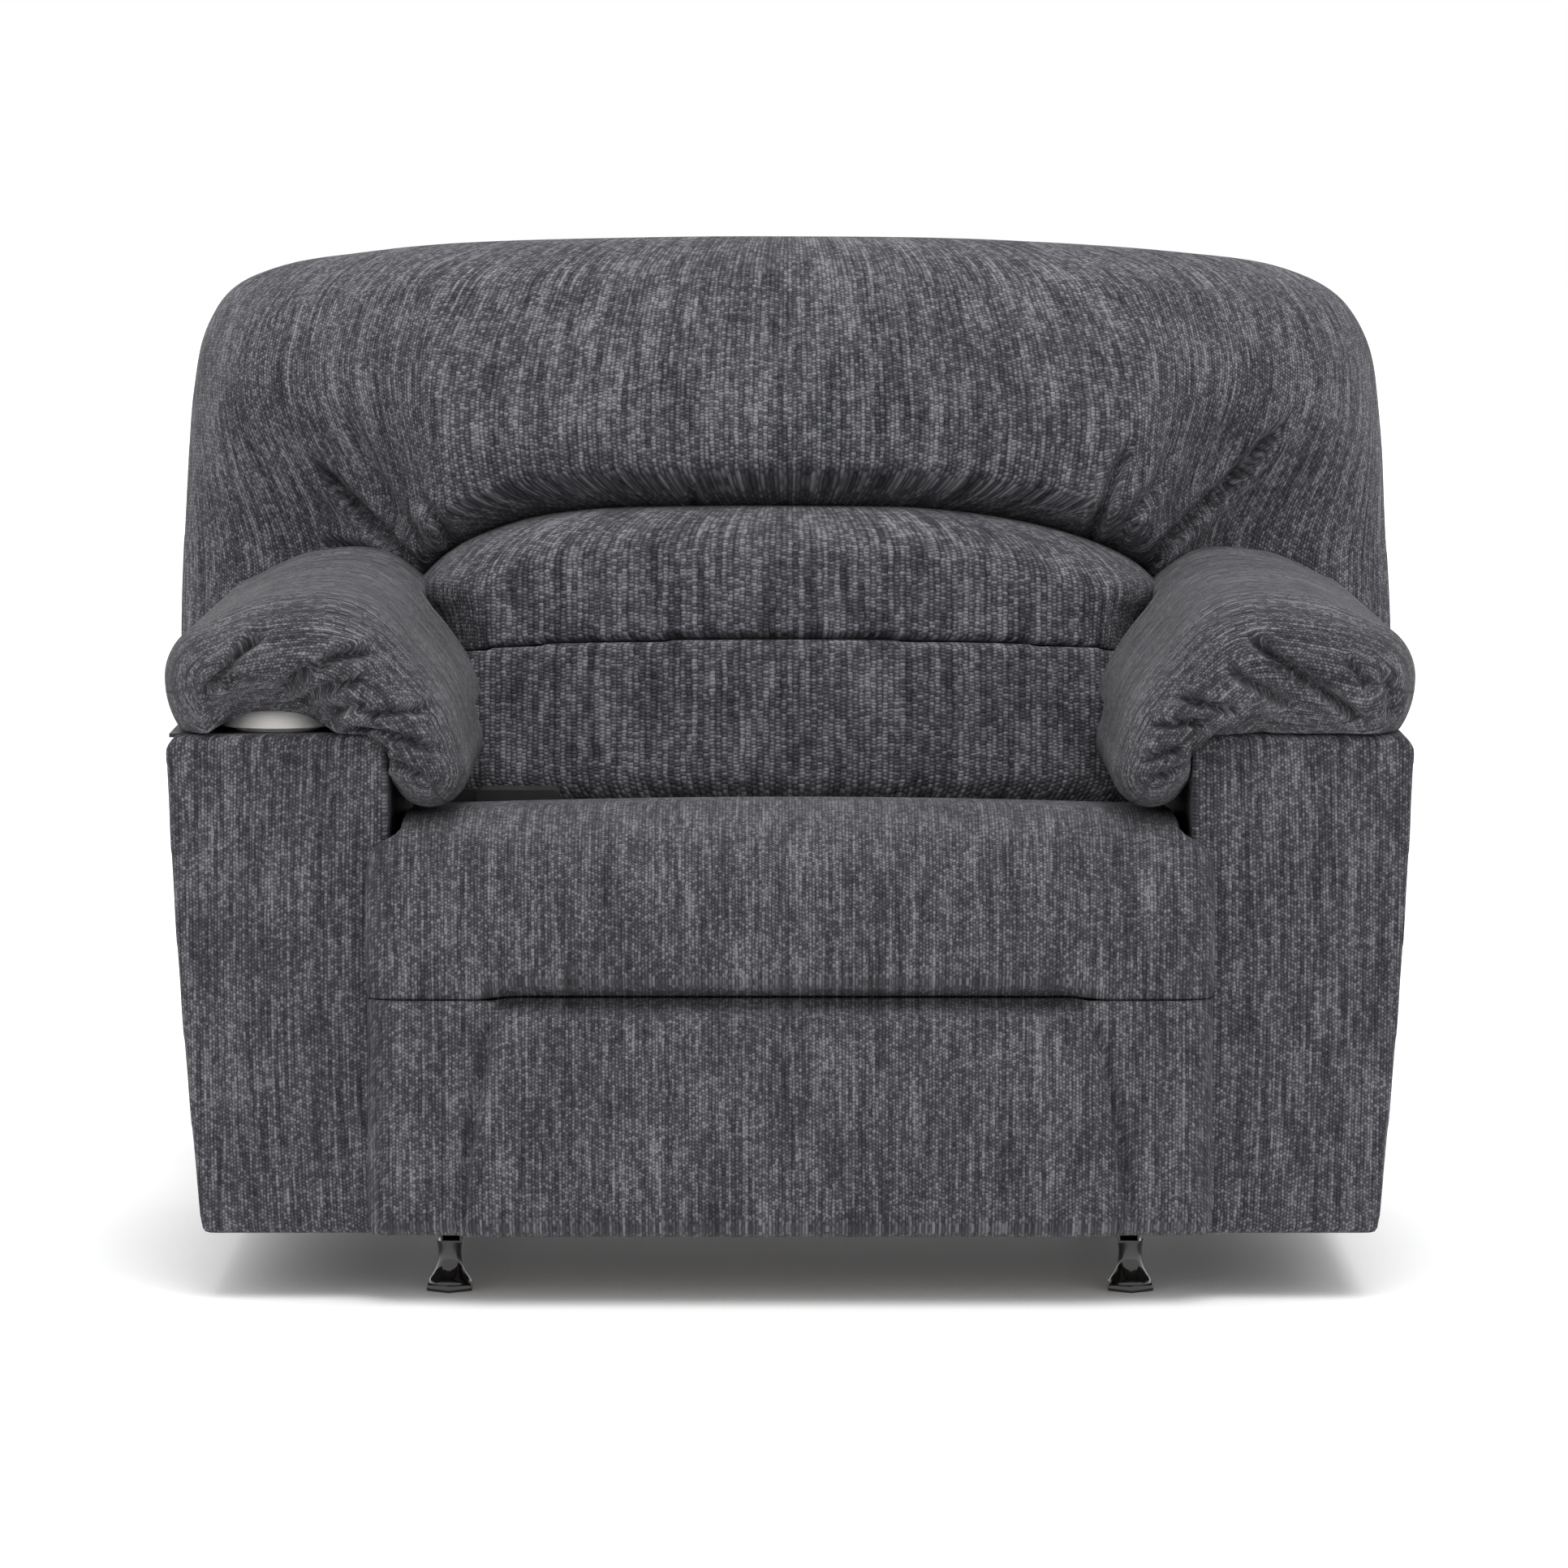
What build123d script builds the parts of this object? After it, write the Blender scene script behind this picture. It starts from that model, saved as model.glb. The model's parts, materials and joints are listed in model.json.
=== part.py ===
"""Extra-wide upholstered recliner with a zero-gravity tilt, as separate sub-parts.

Frame: millimetres, +Z up, the sitter faces -Y. The origin lies on the floor under the middle of the
chair. Left and right are the sitter's own, so the right arm, with its cup holder, is at -X.

The chair is four bodies of work. A steel base stands on four bell-shaped feet. The seat body, with both
arms, tilts on the base. The back hinges behind the seat. The footrest runs out on two parallelogram
link sets, and a middle pad fills the gap behind it.
"""

from build123d import *
from math import cos, radians, sin
import os

# ---------------------------------------------------------------- driving dimensions
SEAT_HALF = 410.0  # inner face of each arm, from the middle plane
ARM_TOP = 584.0
ARM_BOTTOM = 70.0
ARM_OUT_TOP = 636.0  # outer face of an arm at its top
ARM_OUT_BOTTOM = 605.0
ARM_FRONT = -470.0
FRONT_FACE = -505.0  # front of the seat roll and of the closed footrest
BACK_HALF = 684.0
BACK_HEIGHT = 756.0  # of the back along its own slope, from its hinge
BACK_REST_TILT = 13.0  # degrees behind vertical
BACK_PIVOT = (215.0, 330.0)  # Y, Z
TILT_PIVOT = (60.0, 200.0)
FOOT_SPREAD = 350.0
FOOT_HEIGHT = 52.0
FRONT_FOOT_Y = -400.0
REAR_FOOT_Y = 300.0
LINK_LENGTH = 190.0
LINK_WIDTH = 18.0
PLATE = 4.0  # steel plate thickness
GAP = 0.05  # running clearance of a pin in its hole, on the radius
RIVET_R = 5.0
MIRROR = (-1, 1)  # right side, left side

# ---------------------------------------------------------------- worked-out places
SIDE_PLATE_X = 386.0
OUTER_LINK_X = 380.0
KNEE_PLATE_X = 374.0
INNER_LINK_X = 368.0
DRIVE_PIVOT = (-300.0, 300.0)
FOLLOWER_OFFSET = (28.0, -28.0)
DRIVE_REST = -100.0  # degrees above straight ahead
INNER_REST = 80.0
DRIVE_TUBE_R = 10.0
SEAT_RAIL_TOP = 346.0


def along(start, angle, distance):
    """Point at a distance from start, at an angle above straight ahead, in Y and Z."""
    return (start[0] - distance * cos(radians(angle)), start[1] + distance * sin(radians(angle)))


FOLLOWER_PIVOT = (DRIVE_PIVOT[0] + FOLLOWER_OFFSET[0], DRIVE_PIVOT[1] + FOLLOWER_OFFSET[1])
KNEE = along(DRIVE_PIVOT, DRIVE_REST, LINK_LENGTH)
FOLLOWER_KNEE = (KNEE[0] + FOLLOWER_OFFSET[0], KNEE[1] + FOLLOWER_OFFSET[1])
INNER_KNEE = (KNEE[0] - 30.0, KNEE[1] - 10.0)
FOOTREST_PIVOT = along(INNER_KNEE, INNER_REST, LINK_LENGTH)


# ---------------------------------------------------------------- shared shapes
def block(x0, x1, y0, y1, z0, z1):
    """Box between two corners."""
    low = (min(x0, x1), min(y0, y1), min(z0, z1))
    size = (abs(x1 - x0), abs(y1 - y0), abs(z1 - z0))
    return Pos(*low) * Box(*size, align=(Align.MIN, Align.MIN, Align.MIN))


def side_plate(points, x, side, thickness=PLATE, corner=0.0):
    """Plate cut from an outline in Y and Z, standing outwards from x on one side."""
    outline = make_face(Polyline(*points, close=True))
    if corner:
        outline = fillet(outline.vertices(), corner)
    start = x if side > 0 else -x - thickness
    return Pos(start, 0, 0) * extrude(Plane.YZ * outline, thickness)


def cross_rod(centre, radius, x0, x1):
    """Round rod along X between two places."""
    length = abs(x1 - x0)
    return Pos(min(x0, x1) + length / 2, *centre) * Rot(Y=90) * Cylinder(radius, length)


def side_rod(centre, radius, x0, x1, side):
    """Round rod along X on one side, its places counted from the middle."""
    return cross_rod(centre, radius, side * x0, side * x1)


def link(start, end, x, side, width=LINK_WIDTH, holes=(RIVET_R + GAP, RIVET_R + GAP)):
    """Flat bar with round ends between two pivots, with a hole at each."""
    middle = ((start[0] + end[0]) / 2, (start[1] + end[1]) / 2)
    span = ((end[0] - start[0]) ** 2 + (end[1] - start[1]) ** 2) ** 0.5
    direction = Vector(end[0] - start[0], end[1] - start[1], 0)
    slope = Vector(1, 0, 0).get_signed_angle(direction, Vector(0, 0, 1))
    bar = Pos(*middle) * Rot(Z=slope) * SlotOverall(span + width, width)
    for point, radius in zip((start, end), holes):
        if radius:
            bar -= Pos(*point) * Circle(radius)
    place = x if side > 0 else -x - PLATE
    return Pos(place, 0, 0) * extrude(Plane.YZ * bar, PLATE)


def reclined(shape):
    """Shape drawn upright behind the back hinge (X, rearwards, upwards), leant to its rest angle."""
    return Pos(0, *BACK_PIVOT) * Rot(X=-BACK_REST_TILT) * shape


def behind_back_plane(offset):
    """All the space behind a plane that leans like the back, offset rearwards of the hinge."""
    return reclined(block(-900, 900, offset, offset + 1500, -700, 1300))


def mirrored(points, side):
    """Points in X and Z for one side."""
    return [(side * x, z) for x, z in points]


def along_y(points, y0, y1, corner=0.0):
    """Outline in X and Z, extruded along Y."""
    outline = make_face(Polyline(*points, close=True))
    if corner:
        outline = fillet(outline.vertices(), corner)
    return Pos(0, y1, 0) * extrude(Plane.XZ * outline, y1 - y0)


def write(name, shape):
    """One STEP file for each sub-part; a list makes a group of separate solids."""
    if isinstance(shape, list):
        shape = Compound(children=shape)
    export_step(shape, f"parts/{name}.step")


# ---------------------------------------------------------------- base
SOLE_R = 26.0
NECK_R = 12.0
RAIL_X = (340.0, 362.0)
RAIL_Z = (52.0, 84.0)
RAIL_WALL = 2.0
CROSS_TUBE_R = 12.5
CROSS_TUBE_YS = (-130.0, 250.0)
TILT_PIN_R = 6.0


def foot(x, y):
    """Bell-shaped foot: a six-sided sole under a flared neck."""
    sole_height = 12.0
    sole = extrude(RegularPolygon(SOLE_R, 6), sole_height)
    sole = chamfer(sole.faces().sort_by(Axis.Z)[-1].edges(), 3)
    flare = Line((0, sole_height), (NECK_R + 8, sole_height))
    curve = ThreePointArc(flare @ 1, (NECK_R + 1.5, 26), (NECK_R - 1, FOOT_HEIGHT))
    top = Line(curve @ 1, (0, FOOT_HEIGHT))
    axis = Line(top @ 1, flare @ 0)
    neck = revolve(Plane.XZ * make_face([flare, curve, top, axis]), Axis.Z)
    return Pos(x, y, 0) * (sole + neck)


def base_rail(side):
    """Rectangular tube along one side of the base."""
    y0, y1 = FRONT_FOOT_Y - 20, REAR_FOOT_Y + 25
    outer = block(side * RAIL_X[0], side * RAIL_X[1], y0, y1, *RAIL_Z)
    x0, x1 = RAIL_X[0] + RAIL_WALL, RAIL_X[1] - RAIL_WALL
    return outer - block(side * x0, side * x1, y0, y1, RAIL_Z[0] + RAIL_WALL, RAIL_Z[1] - RAIL_WALL)


def tilt_bracket(side):
    """Upright plate on the base rail that carries the tilt pivot."""
    y, z = TILT_PIVOT
    outline = [(y - 60, RAIL_Z[0]), (y + 60, RAIL_Z[0]), (y + 18, z + 18), (y - 18, z + 18)]
    plate = side_plate(outline, RAIL_X[1], side, thickness=PLATE, corner=6)
    return plate - side_rod(TILT_PIVOT, TILT_PIN_R + GAP, 350, 380, side)


def tilt_pin(side):
    """Headed pin through the bracket and the seat side plate, with a spacing collar."""
    shank = side_rod(TILT_PIVOT, TILT_PIN_R, 357, SIDE_PLATE_X + PLATE, side)
    head = side_rod(TILT_PIVOT, TILT_PIN_R + 4, 357, RAIL_X[1], side)
    collar = side_rod(TILT_PIVOT, TILT_PIN_R + 3, RAIL_X[1] + PLATE, SIDE_PLATE_X - 0.5, side)
    return shank + head + collar


def foot_bolt(x, y):
    """Round-headed bolt down through the top wall of the rail, over a foot."""
    return Pos(x, y, RAIL_Z[1] + 3) * Cylinder(8, 6)


def cross_tube(y):
    """Round steel tube between the base rails."""
    tube = cross_rod((y, 68.0), CROSS_TUBE_R, -RAIL_X[0], RAIL_X[0])
    return tube - cross_rod((y, 68.0), CROSS_TUBE_R - RAIL_WALL, -RAIL_X[0], RAIL_X[0])


def build_base():
    write("front_feet", [foot(side * FOOT_SPREAD, FRONT_FOOT_Y) for side in MIRROR])
    write("rear_feet", [foot(side * FOOT_SPREAD, REAR_FOOT_Y) for side in MIRROR])
    write("base_rails", [base_rail(side) for side in MIRROR])
    write("tilt_brackets", [tilt_bracket(side) for side in MIRROR])
    write("base_cross_tubes", [cross_tube(y) for y in CROSS_TUBE_YS])
    write("tilt_pins", [tilt_pin(side) for side in MIRROR])
    write("foot_bolts", [foot_bolt(s * FOOT_SPREAD, y) for s in MIRROR for y in (FRONT_FOOT_Y, REAR_FOOT_Y)])


# ---------------------------------------------------------------- seat
BACK_PIN_R = 8.0
RAIL_THICK = 20.0
SIDE_RAIL_Y = (-405.0, 175.0)
SEAT_RAIL_Z = (300.0, SEAT_RAIL_TOP)
SPRING_COUNT = 6
SPRING_WIRE = 4.0
CUSHION_REAR = 25.0
CUSHION_TOP_FRONT = 500.0
CUSHION_TOP_REAR = 455.0
ROLL_BACK = -475.0  # the wide front roll passes in front of the arms up to here
SEAM_HEIGHT = 320.0  # between the seat roll and the closed footrest
HANDLE_PIVOT = (150.0, 420.0)
HANDLE_PIN_R = 5.0
LEVER_X = 398.0


def seat_plate(side):
    """Steel side plate that carries every pivot of one side of the mechanism."""
    outline = [(-326, 322), (-326, 284), (-290, 250), (20, 172), (100, 172), (238, 300), (238, 354),
               (188, 354), (160, 322)]
    plate = side_plate(outline, SIDE_PLATE_X, side, corner=8)
    holes = ((DRIVE_PIVOT, DRIVE_TUBE_R), (FOLLOWER_PIVOT, RIVET_R), (TILT_PIVOT, TILT_PIN_R),
             (BACK_PIVOT, BACK_PIN_R))
    for centre, radius in holes:
        plate -= side_rod(centre, radius + GAP, 380, 400, side)
    return plate


def seat_spring(x):
    """Zigzag wire spring from the front rail to the rear rail, lying on their tops."""
    y0, y1, swing, steps = -420.0, 165.0, 24.0, 22
    pitch = (y1 - y0) / steps
    points = [(x + swing * (-1) ** i * (0 < i < steps), y0 + i * pitch) for i in range(steps + 1)]
    wire = trace(Polyline(*points), SPRING_WIRE)
    return Pos(0, 0, SEAT_RAIL_TOP) * extrude(wire, SPRING_WIRE)


def seat_cushion():
    """Thick cushion whose front rolls down over the rail, wider than the space between the arms."""
    side_view = [(FRONT_FACE, SEAM_HEIGHT + 5), (FRONT_FACE, CUSHION_TOP_FRONT - 30),
                 (FRONT_FACE + 35, CUSHION_TOP_FRONT), (CUSHION_REAR, CUSHION_TOP_REAR),
                 (CUSHION_REAR, SEAT_RAIL_TOP + 6), (-432, SEAT_RAIL_TOP + 6), (-432, SEAM_HEIGHT + 5)]
    wide = 434.0
    body = Pos(-wide, 0, 0) * extrude(Plane.YZ * make_face(Polyline(*side_view, close=True)), 2 * wide)
    for side in MIRROR:
        body -= block(side * (SEAT_HALF - 5), side * 500, ROLL_BACK, 100, 0, 700)
    body -= block(-410, -392, -80, 100, 0, 700)
    return body


def release_lever():
    """Flat steel lever beside the seat, with a turned-in end that holds the grip."""
    points = [(HANDLE_PIVOT[0] + 10, 410), (HANDLE_PIVOT[0] + 10, 430), (-40, 484), (-40, 468), (120, 412)]
    strap = side_plate(points, LEVER_X, -1, thickness=PLATE)
    strap -= cross_rod(HANDLE_PIVOT, HANDLE_PIN_R + GAP, -405, -395)
    tab = block(-LEVER_X - PLATE, -340, -46, -40, 468, 484)
    return strap + tab


def release_grip():
    """Moulded paddle that the hand pulls up."""
    grip = block(-340, -250, -66, -20, 467, 485)
    return fillet(grip.edges().filter_by(Axis.Y), 7)


def build_seat():
    write("right_seat_plate", seat_plate(-1))
    write("left_seat_plate", seat_plate(1))
    rail_x = (SEAT_HALF - RAIL_THICK, SEAT_HALF)
    write("seat_side_rails", [block(s * rail_x[0], s * rail_x[1], *SIDE_RAIL_Y, *SEAT_RAIL_Z) for s in MIRROR])
    write("front_seat_rail", block(-SEAT_HALF, SEAT_HALF, -430, SIDE_RAIL_Y[0], 318, SEAT_RAIL_TOP))
    write("rear_seat_rail", block(-SIDE_PLATE_X, SIDE_PLATE_X, SIDE_RAIL_Y[1] - 25, SIDE_RAIL_Y[1], *SEAT_RAIL_Z))
    spacing = 2 * 330 / (SPRING_COUNT - 1)
    write("seat_springs", [seat_spring(-330 + i * spacing) for i in range(SPRING_COUNT)])
    write("back_pivot_pins", [side_rod(BACK_PIVOT, BACK_PIN_R, 378, 394, side) for side in MIRROR])
    write("seat_cushion", seat_cushion())
    write("release_lever", release_lever())
    write("release_grip", release_grip())
    write("lever_pin", cross_rod(HANDLE_PIVOT, HANDLE_PIN_R, -SEAT_HALF, -396))


# ---------------------------------------------------------------- arms
PANEL = 20.0  # board and padding of an arm's wall
PANEL_TOP = ARM_TOP - 4.0
FRONT_PANEL_BACK = -440.0
ARM_END = -55.0  # the arms stop this far in front of the back's hinge plane
ARM_HEEL_Y = 165.0  # below the back's lower edge the arms run straight down from here
HANG_END = -222.0  # the hanging inner part of a pillow stops this far in front of the hinge plane
LEVER_NOTCH = (-90.0, 70.0, 580.0)  # Y, Y and top of the space for the release lever
PILLOW_BOTTOM = 503.0
LID_END = -152.0  # the arm lid and its pad stop ahead of the forward bulge of the back
PILLOW_SECTION = [(628, ARM_TOP), (643, 618), (641, 662), (614, 700), (560, 722), (480, 727), (420, 700),
                  (372, 660), (338, 600), (320, 545), (326, 515), (345, PILLOW_BOTTOM), (385, PILLOW_BOTTOM),
                  (404, 520), (404, ARM_TOP)]
CUP_CENTRE = (-528.0, -384.0)
CUP_R = 43.0
CUP_RIM_R = 58.0
CUP_LIP_R = 47.0
CUP_COLLAR = 14.0  # height of the cup holder's raised rim above the arm
CUP_RECESS = (60.5, 604.0)  # radius and top of the hollow round the collar in the pad
CUP_WALL = 1.5
CUP_FLOOR = 512.0
TRAY_WALL = 3.0
TRAY_WELL = (-596.0, -446.0, -300.0, 78.0)
TRAY_FLOOR = 440.0
HINGE_AXIS = (-628.0, 589.0)
HINGE_R = 4.5
HINGE_PIN_R = 2.4
HINGE_Y = (-318.0, 82.0)
LID_BOARD_Z = (586.0, 592.0)


def outer_face_x(z):
    """Distance from the middle of an arm's sloping outer face at a height."""
    return ARM_OUT_BOTTOM + (ARM_OUT_TOP - ARM_OUT_BOTTOM) * (z - ARM_BOTTOM) / (ARM_TOP - ARM_BOTTOM)


def behind_arm(inset):
    """All the space behind an arm's rear edge, moved forwards by an inset."""
    lean = radians(BACK_REST_TILT)
    heel = ARM_HEEL_Y - inset
    bend = BACK_PIVOT[1] + (heel - BACK_PIVOT[0] - (ARM_END - inset) / cos(lean)) * cos(lean) / sin(lean)
    return behind_back_plane(ARM_END - inset) - block(-900, 900, -900, heel, -600, bend)


def arm_walls(side):
    """Named boards of one arm, all but its top."""
    low, high = ARM_BOTTOM, PANEL_TOP
    rear = 230.0
    cut = behind_arm(PANEL)
    floor_z = low + 15
    out_low, out_high = outer_face_x(low), outer_face_x(high)
    outer = [(out_low, low), (out_high, high), (out_high - PANEL, high), (out_low - PANEL, low)]
    inside = outer_face_x(floor_z) - PANEL
    floor = [(SEAT_HALF + PANEL, low), (out_low - PANEL, low), (inside, floor_z), (SEAT_HALF + PANEL, floor_z)]
    whole = [(SEAT_HALF, low), (out_low, low), (out_high, high), (SEAT_HALF, high)]
    front = [(SEAT_HALF, low), (out_low, low), (outer_face_x(ARM_TOP), ARM_TOP), (SEAT_HALF, ARM_TOP)]
    rear_panel = along_y(mirrored(whole, side), 0, rear + 80) & cut
    return {
        "outer_panel": along_y(mirrored(outer, side), FRONT_PANEL_BACK, rear) - cut,
        "inner_panel": block(side * SEAT_HALF, side * (SEAT_HALF + PANEL), FRONT_PANEL_BACK, rear, low, high) - cut,
        "base_board": along_y(mirrored(floor, side), FRONT_PANEL_BACK, rear) - cut,
        "front_panel": along_y(mirrored(front, side), ARM_FRONT, FRONT_PANEL_BACK, corner=14),
        "rear_panel": rear_panel - behind_arm(0),
    }


def arm_top_outline(side):
    """Solid of the thin top sheet of an arm, before anything is cut from it."""
    sheet = block(side * SEAT_HALF, side * outer_face_x(PANEL_TOP), FRONT_PANEL_BACK, 260, PANEL_TOP, ARM_TOP)
    return sheet - behind_back_plane(ARM_END)


def arm_pillow(side, bottom):
    """Saddle-shaped pad over the top of an arm and down its inner side."""
    shape = along_y(mirrored(PILLOW_SECTION, side), ARM_FRONT - 5, 280)
    shape -= behind_back_plane(ARM_END - 5)
    shape -= block(side * 300, side * 404, -200, 400, 400, 800) & behind_back_plane(HANG_END)
    shape -= block(side * 300, side * 404, LEVER_NOTCH[0], LEVER_NOTCH[1], 400, LEVER_NOTCH[2])
    return shape - block(side * 405, side * 700, -600, 400, 400, bottom)


def storage_tray():
    """Moulded tray under the lid: a flange with a deep well behind the cup hole."""
    x0, x1, y0, y1 = TRAY_WELL
    outer = block(x0 - TRAY_WALL, x1 + TRAY_WALL, y0 - TRAY_WALL, y1 + TRAY_WALL, TRAY_FLOOR - TRAY_WALL, PANEL_TOP)
    tray = arm_top_outline(-1) + outer
    tray -= block(x0, x1, y0, y1, TRAY_FLOOR, ARM_TOP)
    return tray - Pos(*CUP_CENTRE, 550) * Cylinder(CUP_R + 0.5, 200)


def cup_holder():
    """Steel cup with a rolled rim that stands on the tray."""
    rim_z = ARM_TOP + CUP_COLLAR
    cup = Pos(*CUP_CENTRE, (CUP_FLOOR + rim_z) / 2) * Cylinder(CUP_R, rim_z - CUP_FLOOR)
    rim = Pos(*CUP_CENTRE, ARM_TOP + CUP_COLLAR / 2) * Cone(CUP_RIM_R, CUP_LIP_R, CUP_COLLAR)
    rim = fillet(rim.faces().sort_by(Axis.Z)[-1].edges(), 3)
    inside_height = rim_z - CUP_FLOOR
    inside = Pos(*CUP_CENTRE, CUP_FLOOR + CUP_WALL + inside_height / 2) * Cylinder(CUP_R - CUP_WALL, inside_height)
    return cup + rim - inside


def hinge_leaf(knuckles, leaf_z):
    """Half of the lid's hinge: a strip joined to every other knuckle."""
    x, z = HINGE_AXIS
    y0, y1 = HINGE_Y
    pitch = (y1 - y0) / 5
    leaf = block(x + 6, x + 22, y0, y1, leaf_z, leaf_z + 1.5)
    for i in knuckles:
        a, b = y0 + i * pitch + 0.5, y0 + (i + 1) * pitch - 0.5
        barrel = Pos(x, (a + b) / 2, z) * Rot(X=90) * Cylinder(HINGE_R, b - a)
        leaf += barrel + block(x, x + 7, a, b, leaf_z, leaf_z + 1.5)
    bore = Pos(x, (y0 + y1) / 2, z) * Rot(X=90) * Cylinder(HINGE_PIN_R + GAP, y1 - y0)
    return leaf - bore


def hinge_pin():
    """Long pin through all five knuckles."""
    y0, y1 = HINGE_Y
    return Pos(HINGE_AXIS[0], (y0 + y1) / 2, HINGE_AXIS[1]) * Rot(X=90) * Cylinder(HINGE_PIN_R, y1 - y0)


def build_arms():
    bases = []
    for name, side in (("right", -1), ("left", 1)):
        walls = arm_walls(side)
        bases.append(walls.pop("base_board"))
        for part, shape in walls.items():
            write(f"{name}_arm_{part}", shape)
    write("arm_base_boards", Compound(children=bases))
    write("left_arm_top_board", arm_top_outline(1))
    write("left_arm_pillow", arm_pillow(1, ARM_TOP))
    write("storage_tray", storage_tray())
    write("cup_holder", cup_holder())
    write("lid_hinge_fixed_leaf", hinge_leaf((0, 2, 4), ARM_TOP))
    write("lid_hinge_pin", hinge_pin())
    lid_leaf = hinge_leaf((1, 3), LID_BOARD_Z[1])
    write("lid_hinge_moving_leaf", lid_leaf)
    board = block(-622, -412, -320, 200, *LID_BOARD_Z) - behind_back_plane(LID_END - 6)
    write("lid_board", board)
    recess_r, recess_z = CUP_RECESS
    keep_out = block(-640, -606, HINGE_Y[0], HINGE_Y[1], 580, LID_BOARD_Z[1] + 1.5)
    keep_out += Pos(*CUP_CENTRE, recess_z - 50) * Cylinder(recess_r, 100)
    keep_out += block(CUP_CENTRE[0] - recess_r, CUP_CENTRE[0] + recess_r, -500, CUP_CENTRE[1], 500, recess_z)
    whole = arm_pillow(-1, LID_BOARD_Z[1])
    write("right_arm_pillow", whole - keep_out - behind_back_plane(LID_END))
    write("right_arm_rear_pillow", (arm_pillow(-1, ARM_TOP) & behind_back_plane(LID_END + 3)))


# ---------------------------------------------------------------- back
FRAME_FRONT = 50.0  # the back's frame lies between these two places behind the hinge
FRAME_BACK = 90.0
COVER_BACK = 125.0
STILE_X = (345.0, 380.0)
SKIRT_DROP = 150.0
BACK_OUTLINE = [(BACK_HALF, 0), (BACK_HALF, 260), (676, 470), (662, 615), (624, 698), (540, 732), (330, 750),
                (0, BACK_HEIGHT)]
ARCH_OUTLINE = [(396, 262), (396, 330), (368, 384), (300, 412), (180, 422)]
ROLL_OUTLINE = [(181, 425), (301, 415), (371, 388), (404, 395), (600, 410), (600, 570), (560, 670), (440, 712),
                (200, 726)]


def both_halves(points):
    """Closed outline from the points of its right half, bottom to top."""
    return points + [(-x, z) for x, z in reversed(points) if x]


def back_slab(points, front, back, smooth=True):
    """Slab of the back between two places behind the hinge."""
    if smooth:
        right = Spline(*points[1:], tangents=((0, 1), (-1, 0)))
        left = Spline(*[(-x, z) for x, z in points[1:]], tangents=((0, 1), (1, 0)))
        foot_line = Polyline(points[1], points[0], (-points[0][0], points[0][1]), (-points[1][0], points[1][1]))
        face = make_face([foot_line, right, left])
    else:
        face = make_face(Polyline(*both_halves(points), close=True))
    return Pos(0, back, 0) * extrude(Plane.XZ * face, back - front)


def back_cushions():
    """Horseshoe head pillow around an arched pair of lumbar cushions."""
    slab = back_slab(BACK_OUTLINE, -40, FRAME_FRONT)
    slab -= block(-404, 404, -60, 60, -10, 75)
    roll = back_slab(ROLL_OUTLINE, -145, -40, smooth=False)
    lower = block(-392, 392, -205, -41, 60, 258)
    upper = back_slab(ARCH_OUTLINE, -195, -41, smooth=False)
    return {"head_pillow": slab + roll, "lower_lumbar_cushion": lower, "upper_lumbar_cushion": upper}


def back_cover():
    """Padded outside back with a pocket for the frame and a skirt down behind the seat."""
    cover = back_slab([(x * 0.985, z * 0.985) for x, z in BACK_OUTLINE], FRAME_FRONT, COVER_BACK)
    cover -= block(-570, 570, FRAME_FRONT, FRAME_BACK + 2, 8, 700)
    skirt = block(-376, 376, COVER_BACK - 12, COVER_BACK, -SKIRT_DROP, 0)
    return cover + skirt


def back_spring(x):
    """Zigzag wire spring between the lower and the upper rail of the back."""
    z0, z1, swing, steps = 60.0, 470.0, 22.0, 16
    pitch = (z1 - z0) / steps
    points = [(x + swing * (-1) ** i * (0 < i < steps), z0 + i * pitch) for i in range(steps + 1)]
    wire = trace(Polyline(*points), SPRING_WIRE)
    return Pos(0, FRAME_FRONT + 6, 0) * extrude(Plane.XZ * wire, SPRING_WIRE)


def back_bracket(side):
    """Plate from the hinge pin up the outside of a stile."""
    outline = [(-13, -13), (13, -13), (88, 60), (88, 190), (62, 190), (62, 72), (-13, 30)]
    plate = side_plate(outline, OUTER_LINK_X, side, corner=6)
    return plate - side_rod((0, 0), BACK_PIN_R + GAP, 370, 395, side)


def build_back():
    for name, shape in back_cushions().items():
        write(name, reclined(shape))
    write("outside_back_cover", reclined(back_cover()))
    stile_box = (FRAME_FRONT + 10, FRAME_BACK, 12, 640)
    write("back_stiles", [reclined(block(s * STILE_X[0], s * STILE_X[1], *stile_box)) for s in MIRROR])
    wing_box = (FRAME_FRONT, FRAME_FRONT + 15, 20, 640)
    write("wing_boards", [reclined(block(s * 400, s * 560, *wing_box)) for s in MIRROR])
    rail = (-STILE_X[0], STILE_X[0], FRAME_FRONT + 10, FRAME_BACK)
    write("back_cross_rails", [reclined(block(*rail, z, z + 48)) for z in (12, 470)])
    write("back_top_rail", reclined(block(-560, 560, FRAME_FRONT, FRAME_BACK, 641, 690)))
    spacing = 2 * 270 / 4
    write("back_springs", [reclined(back_spring(-270 + i * spacing)) for i in range(5)])
    write("back_brackets", [reclined(back_bracket(side)) for side in MIRROR])


# ---------------------------------------------------------------- footrest
PAD_BACK = -450.0
BOARD_BACK = -430.0
FOOTREST_Z = (70.0, SEAM_HEIGHT - 5)
FOOTREST_SLOPE = 30.0  # its top drops this much from front to back, to swing clear of the seat
BOARD_Z = (78.0, 272.0)
MIDDLE_PAD = (60.0, 150.0)  # along the inner links, from the knee
MIDDLE_OFFSET = 40.0  # of the middle board behind the inner links


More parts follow.
